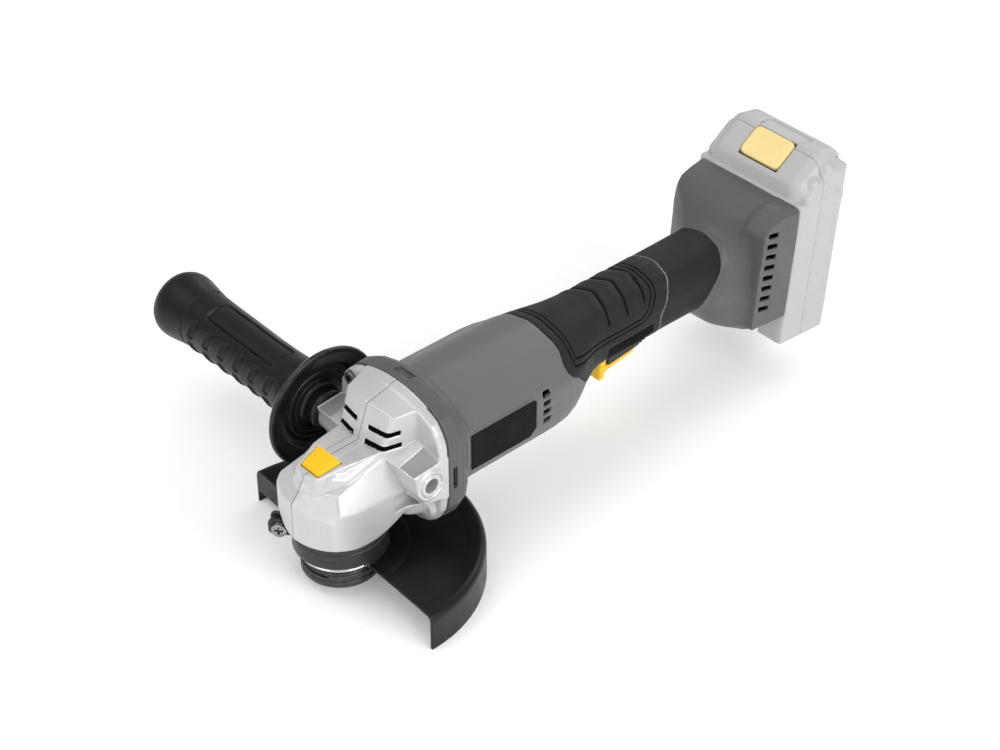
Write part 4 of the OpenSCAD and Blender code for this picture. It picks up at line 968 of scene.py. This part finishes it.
def foot_shade(x, y, z):
    # Painted shade inside the foot's air slots
    sunk = np.abs(x) < np.where(x > 0, PACK_W - 0.9, 33.5)
    return np.where(sunk & (foot_slots(x, y, z) < 0.35), 1, 0)


solid("battery_foot_case", foot_field, (-37.6, 207, 14), (37.6, 296, 97.5), 0.65, "tool", "grey_plastic",
      "battery_foot", ["foot_grey", "painted_shade_black"], keep=0.32, pick=foot_shade)


def label_field(x, y, z):
    return both(outline(y, z, LABEL), between(x, BODY_W + 0.02, BODY_W + 0.5), 0.16)


solid("rating_plate", label_field, (34.8, 54.5, 44.8), (35.8, 99, 67.2), 0.22, "tool", "label_film",
      "label_plate", keep=0.12)


def baffle_field(x, y, z):
    ax = np.abs(x)
    plan = flange_field(x, z)
    d = both(plan, between(y, FLANGE_Y + 0.05, 47.0), 0.7)
    rear = both(plan + 0.9 + np.clip(y - 49, 0, 4) * 0.45, between(y, 46.5, HOUSING_Y - 0.05), 0.8)
    d = either(d, rear, 0.2)
    d = cut(d, both(both(between(y, 41.5, 44.1), between(z, 43, 56), 0.7), 36.4 - ax), 0.3)
    d = cut(d, both(both(between(x, -8, 4), between(y, 43, 48), 0.6), 87.6 - z), 0.3)
    d = cut(d, rod(x, z, y, 0, MOTOR_Z, 27, 30, 51))
    d = cut(d, rod(x, z, y, 0, MOTOR_Z, 20, 48, 56))
    d = cut(d, rod(x, z, y, *TOP_SCREW, 1.92, 35, 51.5))
    for place in LOW_SCREWS:
        d = cut(d, rod(x, z, y, *place, 2.2, 35, 56))
    return d


def baffle_shade(x, y, z):
    ax = np.abs(x)
    # Painted shade inside the slot cut into the baffle's sides
    side = (ax > 30) & (ax < 37.3) & (y > 41.7) & (y < 43.9) & (z > 43.4) & (z < 55.6)
    return np.where(side, 1, 0)


solid("fan_baffle", baffle_field, (-38.6, 38.6, 16), (38.6, 53.4, 90.6), 0.5, "tool", "grey_plastic",
      "baffle_ring", ["dark_grey_plastic", "painted_shade_black"], pick=baffle_shade)

# -------- trigger and lock-off lever

PADDLE = [(174.8, 33.1), (197, 35.5), (206, 38.5), (211, 43), (211, 48.5), (174.8, 48.5)]


def paddle_field(x, y, z):
    ax = np.abs(x)
    d = both(prism(y, z, PADDLE, 0.8), ax - 8.35, 0.8)
    along_rib = y + 0.45 * (z - 40)
    rib = np.abs(np.mod(along_rib / 2.6, 1.0) - 0.5) * 2
    zone = both(both(between(y, 177, 205), between(z, 35.5, 47), 0.5), 6 - ax)
    d = d + 0.3 * np.clip(1.6 - 2.2 * rib, 0, 1) * step(-zone, 0, 0.5)
    d = cut(d, both(ax - 4.3, both(between(y, 170, 182.5), between(z, 28, 47.5))), 0.2)
    d = cut(d, rod(y, z, x, *TRIGGER_PIN, 1.55, -15, 15))
    return cut(d, rod(y, z, x, *LEVER_PIN, 1.01, -15, 15))


solid("trigger_block", paddle_field, (-8.8, 174.4, 32.6), (8.8, 211.4, 49), 0.3, "trigger",
      "black_plastic", "trigger_paddle")

TAB = [(170.2, 23.4), (174.4, 23.4), (175.2, 31), (175.2, 38), (169.8, 38), (169.6, 34)]
BAR = [(172, 28), (194, 31), (195.5, 32.3), (195.5, 34.4), (175, 32.3), (172, 32)]


def lever_field(x, y, z):
    ax = np.abs(x)
    tab = both(prism(y, z, TAB, 1.4), ax - 6.4 - (z - 23.5) * 0.05, 1.8)
    bar = both(prism(y, z, BAR, 0.7), ax - 6.5, 0.9)
    stem = box(ax, y, z, (-5, 171.2, 30), (3.85, 179.6, 44), 0.5)
    d = either(either(tab, bar, 0.9), stem, 0.4)
    for rib in (26.2, 28.4, 30.6):
        d = groove(d, np.where(y < 172, z - rib, 9), 0.9, 0.3)
    return cut(d, rod(y, z, x, *LEVER_PIN, 1.05, -10, 10))


solid("lock_off_tab", lever_field, (-8, 169, 23), (8, 196, 44.4), 0.28, "lock_off", "yellow_plastic",
      "lock_off_lever")

# -------- battery

# Depth and low end of the pack along the rails, and the depth where its halves meet
PACK_D = 36
PACK_LOW = -86
SPLIT = 17.02
PLAN = [(-PACK_W + 2, 0.2), (PACK_W - 2, 0.2), (PACK_W, 1.2), (PACK_W, PACK_D - 1.6), (PACK_W - 1.6, PACK_D),
        (-PACK_W + 1.6, PACK_D), (-PACK_W, PACK_D - 1.6), (-PACK_W, 1.2)]
BLOCK = [(0.2, -6), (PACK_D, -6), (PACK_D, 20), (PACK_D - 3, 22.3), (21.5, 23.6), (18.5, 22.6), (4.2, 11.2),
         (2.4, 8.5), (1, 1), (0.2, 0.2)]
SHOULDER = [(6, -6), (PACK_D, -6), (PACK_D, 15.5), (PACK_D - 1, 16.5), (23, 16.5), (20, 15.5), (6, 4)]
CELL_ROOM = [(15, PACK_LOW + 2.2), (PACK_D - 2.2, PACK_LOW + 2.2), (PACK_D - 2.2, 17), (31.8, 19), (29, 19),
             (20.5, 11.2), (15, 6.5)]
# Under the pack, so that a room runs out of it
BELOW = -200
# Rooms inside the pack, mirrored in x: low and high corner in x, depth and height
PACK_ROOMS = [((-27.5, 11.2, -83.8), (27.5, 16.2, -5.8)), ((28.6, 2.4, -83.8), (34.8, 15.4, -1.8)),
              ((-26.4, 3.8, BELOW), (26.4, 9.4, -8.6)), ((-20.4, -1, BELOW), (20.4, 4.6, -8.6))]
TERMINALS = (-12, -4.5, 3, 10.5)
LATCH = [(3.9, 12.1), (6.4, 9.1), (20.7, 20.5), (18.2, 23.5)]
LATCH_WELL = [(3.2, 12.1), (5.7, 8.8), (8.35, 6.5), (23.4, 18.2), (21.4, 20.5), (18.0, 25.2)]


def pack_outside(x, depth, height):
    ax = np.abs(x)
    d = both(prism(x, depth, PLAN, 1.0), between(height, PACK_LOW, 1), 1.6)
    block = both(outline(depth, height, BLOCK) + 1.5, ax - PACK_W + 4.5, 7.5) - 1.5
    wide = both(outline(depth, height, SHOULDER) + 1.0, ax - PACK_W + 1.0, 2.0) - 1.0
    d = either(d, either(block, wide, 1.8), 1.2)
    # Two pads on each shoulder, a sunk panel behind the latch and the side panel's outline
    for at, high in ((12.5, 9.5), (21.5, 16.2)):
        pad = np.hypot(np.hypot((x - 33.6) * 1.2, depth - at), height - high) - 3.4
        d = either(d, pad, 1.6)
    sunk = both(both(ax - 15.5, between(depth, 20.5, 30.5), 1.5), 21.7 - height, 0.2)
    d = cut(d, sunk, 0.5)
    capsule = np.maximum(np.abs(depth - 24.4) - 2.4, 0)
    capsule = np.hypot(capsule, np.maximum(np.abs(height + 37) - 38.5, 0)) - 3.2
    d = groove(d, np.where(ax > 33, capsule, 9), 0.9, 0.4)
    # Panel line and four screw recesses on the rear face
    frame_line = np.hypot(np.maximum(ax - 26, 0), np.maximum(np.abs(height + 34) - 36, 0)) - 4
    d = groove(d, np.where(depth > PACK_D - 3, frame_line, 9), 1.1, 0.5)
    screw = np.hypot(ax - 25, np.abs(height + 34) - 34) - 2.6
    return cut(d, both(screw, PACK_D - 1.4 - depth), 0.3)


def pack_room(x, depth, height):
    ax = np.abs(x)
    d = both(outline(depth, height, CELL_ROOM), ax - np.where(height < -2, 34.8, 31.8))
    for low, high in PACK_ROOMS:
        d = either(d, box(ax, depth, height, low, high, 0))
    for sx in TERMINALS:
        d = either(d, box(x, depth, height, (sx - 0.7, 9, BELOW), (sx + 1.7, 13, -17), 0))
    return d


def latch_well(x, depth, height):
    return both(outline(depth, height, LATCH_WELL), np.abs(x) - 14.0)


def half_case(side):
    """Half of the pack's shell: the one at the foot for 1, the rear one for -1."""
    def shape(x, y, z):
        depth, height = rails(y, z)
        d = both(pack_outside(x, depth, height), side * (depth - SPLIT) + 0.05, 0.35)
        d = cut(d, pack_room(x, depth, height))
        return cut(d, latch_well(x, depth, height), 0.5)
    return shape


solid("pack_front", half_case(1), (-37.6, 276, 7), (37.6, 305, 120), 0.65, "battery", "pack_plastic",
      "battery_front_case", keep=0.3)
solid("pack_rear", half_case(-1), (-37.6, 292, 5), (37.6, 325, 120), 0.65, "battery", "pack_plastic",
      "battery_rear_case", keep=0.3)


def latch_field(x, y, z):
    depth, height = rails(y, z)
    along_slope = depth * 0.782 + height * 0.623
    far_x = np.maximum(np.abs(x) - 9.85, 0)
    corner = np.hypot(far_x, np.maximum(np.abs(along_slope - 19.8) - 5.3, 0)) - 3.8
    d = both(both(prism(depth, height, LATCH, 1.0), np.abs(x) - 13.65, 0.6), corner, 0.8)
    for at in (22.5, 24.7, 26.9):
        d = groove(d, np.where(np.abs(x) < 9, along_slope - at, 9), 0.9, 0.2)
    return d


solid("pack_latch", latch_field, (-14.2, 288, 97), (14.2, 309, 117), 0.35, "latch",
      "pale_yellow_plastic", "battery_latch")

# -------- side handle

CORE = [(-5, 39), (9.3, 39), (10.6, 40.2), (11, 41.4), (11, 46.2), (12, 47.6), (21.2, 48.6), (22.8, 48.2),
        (23.6, 46.6), (24.2, 45.8), (26, 45.2), (29, 44.1), (31, 43.3), (33, 43.4),
        (33.6, 45), (32.4, 46.6), (28, 49), (21, 52.5), (15.5, 55), (12, 58), (12, 150), (-5, 150)]
GRIP = [(-5, 50), (12.4, 58), (15.2, 56.2), (16.2, 57.6), (16.5, 60), (16.4, 64), (15.7, 70), (15.3, 80),
        (15.2, 90), (15.4, 105), (15.6, 120), (15.8, 134), (16.1, 142), (16.8, 147.6), (17.7, 152.8),
        (18.4, 157.4), (18.6, 160.6), (18.2, 163.4), (16.9, 166.2), (14.2, 168.4), (10, 169.6), (5, 170),
        (-5, 170)]


def on_handle(x, y, z):
    """Radius, distance out from the head and angle from the top towards the nose."""
    u, v = y - BOSS[1], z - BOSS[2]
    return np.hypot(u, v), -x, np.degrees(np.arctan2(-u, v))


def hexagon(u, v, size):
    """Six-sided outline whose corners are size away from the middle."""
    d = None
    for i in range(6):
        a = math.radians(60 * i + 30)
        e = u * math.cos(a) + v * math.sin(a) - size * math.cos(math.radians(30))
        d = e if d is None else np.maximum(d, e)
    return d


def core_field(x, y, z):
    r, t = on_handle(x, y, z)[:2]
    d = outline(r, t, CORE)
    for at in (15.0, 18.6):
        d = groove(d, np.where(t < 50, r - at, 9), 1.4, 0.5)
    d = cut(d, both(r - 4.0, t - 80), 0.3)
    return cut(d, both(hexagon(y - BOSS[1], z - BOSS[2], 6.6), between(t, 61.9, 67.1)))


def handle_box(near, far, radius):
    """Corners of a box round the side handle's axis, between two distances from the middle."""
    return (-far, BOSS[1] - radius, BOSS[2] - radius), (-near, BOSS[1] + radius, BOSS[2] + radius)


solid("handle_core_guard", core_field, *handle_box(38, 151, 34.5), 0.6, "side_handle", "black_plastic",
      "handle_core", ["handle_black"], keep=0.3)


def grip_field(x, y, z):
    r, t, angle = on_handle(x, y, z)
    d = outline(r, t, GRIP)
    fold = np.abs(np.mod(angle - 6.5 + 180, 360) - 180)
    fold = np.minimum(fold, 180 - fold)
    arc = np.radians(fold) * r
    # Inset panel with its groove, on the top and the underside
    panel = both(arc - 7.2, between(t, 73.5, 129.2), 2.0)
    d = d + 0.5 * step(-panel, -0.3, 0.5)
    d = groove(d, panel, 2.1, 1.0)
    # Two rows of short raised bars with a pocket behind each, on the side towards the nose
    flank = np.abs(np.mod(angle - 6.5 + 180, 360) - 180 - 90)
    flank = np.where(np.mod(angle - 6.5 + 360, 360) < 180, flank, 90)
    for i in range(6):
        at = 73.2 + 12.7 * i
        across = t - at + (flank - 25) * 0.07
        zone = step(flank, 4, 8) * step(-flank, -47, -43)
        bar = np.clip(1 - np.abs(across) / 1.1, 0, 1)
        pocket = np.clip(1 - np.abs(across + 2.9) / 2.3, 0, 1)
        d = d + zone * (1.0 * pocket * (2 - pocket) - 0.75 * bar)
    d = groove(d, t - 142.8, 1.3, 0.6)
    d = cut(d, both(r - 12.01, t - 150.1))
    return both(d, -outline(r, t, [(-5, 40), (19, 50), (15.6, 55.2), (12, 58.2), (-5, 58.2)]), 0.3)


solid("handle_sleeve", grip_field, *handle_box(56, 170.6, 19.4), 0.5, "side_handle", "handle_rubber",
      "handle_grip")


def stud_field(x, y, z):
    r, t, angle = on_handle(x, y, z)
    phase = np.abs(np.mod(t / 1.25 - angle / 360, 1.0) - 0.5) * 2
    thread = r - 3.95 + 0.62 * np.clip(phase * 1.25 - 0.1, 0, 1) + 0.5 * (1 - step(t, 27.3, 28.4))
    d = both(thread * 0.8, between(t, 27.5, 79.5), 0.3)
    return either(d, both(hexagon(y - BOSS[1], z - BOSS[2], 6.5), between(t, 62, 67), 0.2))


solid("handle_bolt", stud_field, *handle_box(27, 79.8, 7), 0.26, "side_handle", "machined_steel",
      "handle_stud", keep=0.3)

# -------- view, light and floor

CAMERA_TURN = math.radians(47.92)
CAMERA_RISE = math.radians(37.5)
CAMERA_FAR = 1.143
CAMERA_AIM = (-0.0002, 0.10585, 0.0577)

camera_data = bpy.data.cameras.new("camera")
camera_data.lens = 81.72
camera_data.sensor_width = 36
camera = bpy.data.objects.new("camera", camera_data)
bpy.context.collection.objects.link(camera)
level = math.cos(CAMERA_RISE) * CAMERA_FAR
camera.location = (CAMERA_AIM[0] + math.sin(CAMERA_TURN) * level,
                   CAMERA_AIM[1] - math.cos(CAMERA_TURN) * level,
                   CAMERA_AIM[2] + math.sin(CAMERA_RISE) * CAMERA_FAR)
camera.rotation_euler = (math.pi / 2 - CAMERA_RISE, 0, CAMERA_TURN)
bpy.context.scene.camera = camera
bpy.context.scene.view_settings.view_transform = "Standard"


def lamp(name, place, aim, size, power):
    data = bpy.data.lights.new(name, "AREA")
    data.shape = "RECTANGLE"
    data.size, data.size_y = size
    data.energy = power
    o = bpy.data.objects.new(name, data)
    bpy.context.collection.objects.link(o)
    o.location = place
    way = [aim[i] - place[i] for i in range(3)]
    flat = math.hypot(way[0], way[1])
    o.rotation_euler = (math.atan2(flat, -way[2]), 0, math.atan2(-way[0], way[1]))


lamp("key", (-0.35, -0.5, 1.5), (0, 0.1, 0.05), (1.0, 1.0), 6.5)
lamp("near_side", (1.5, 0.1, 0.9), (0, 0.1, 0.05), (1.2, 0.9), 15)
lamp("rear", (-0.4, 1.4, 1.0), (0, 0.15, 0.05), (1.2, 0.7), 6)
lamp("nose", (0.2, -1.5, 0.6), (0, 0.0, 0.04), (1.0, 0.7), 3.5)

world = bpy.data.worlds.new("studio")
bpy.context.scene.world = world
world.use_nodes = True
world.node_tree.nodes["Background"].inputs["Color"].default_value = (1, 1, 1, 1)
world.node_tree.nodes["Background"].inputs["Strength"].default_value = 0.5

floor_z = cad_box[0][2]
floor_mesh = bpy.data.meshes.new("floor")
reach = 6.0
corners = [(u * reach, v * reach, floor_z) for u, v in ((-1, -1), (1, -1), (1, 1), (-1, 1))]
floor_mesh.from_pydata(corners, [], [(0, 1, 2, 3)])
floor = bpy.data.objects.new("floor", floor_mesh)
bpy.context.collection.objects.link(floor)
paper = finish("floor_paper", 250, 0.9, spread=0.003, blotch=2.0, grain=300, depth=0.002)
paper_shader = paper.node_tree.nodes["Principled BSDF"]
paper_shader.inputs["Emission Color"].default_value = (1, 1, 1, 1)
paper_shader.inputs["Emission Strength"].default_value = 0.2
floor_mesh.materials.append(paper)
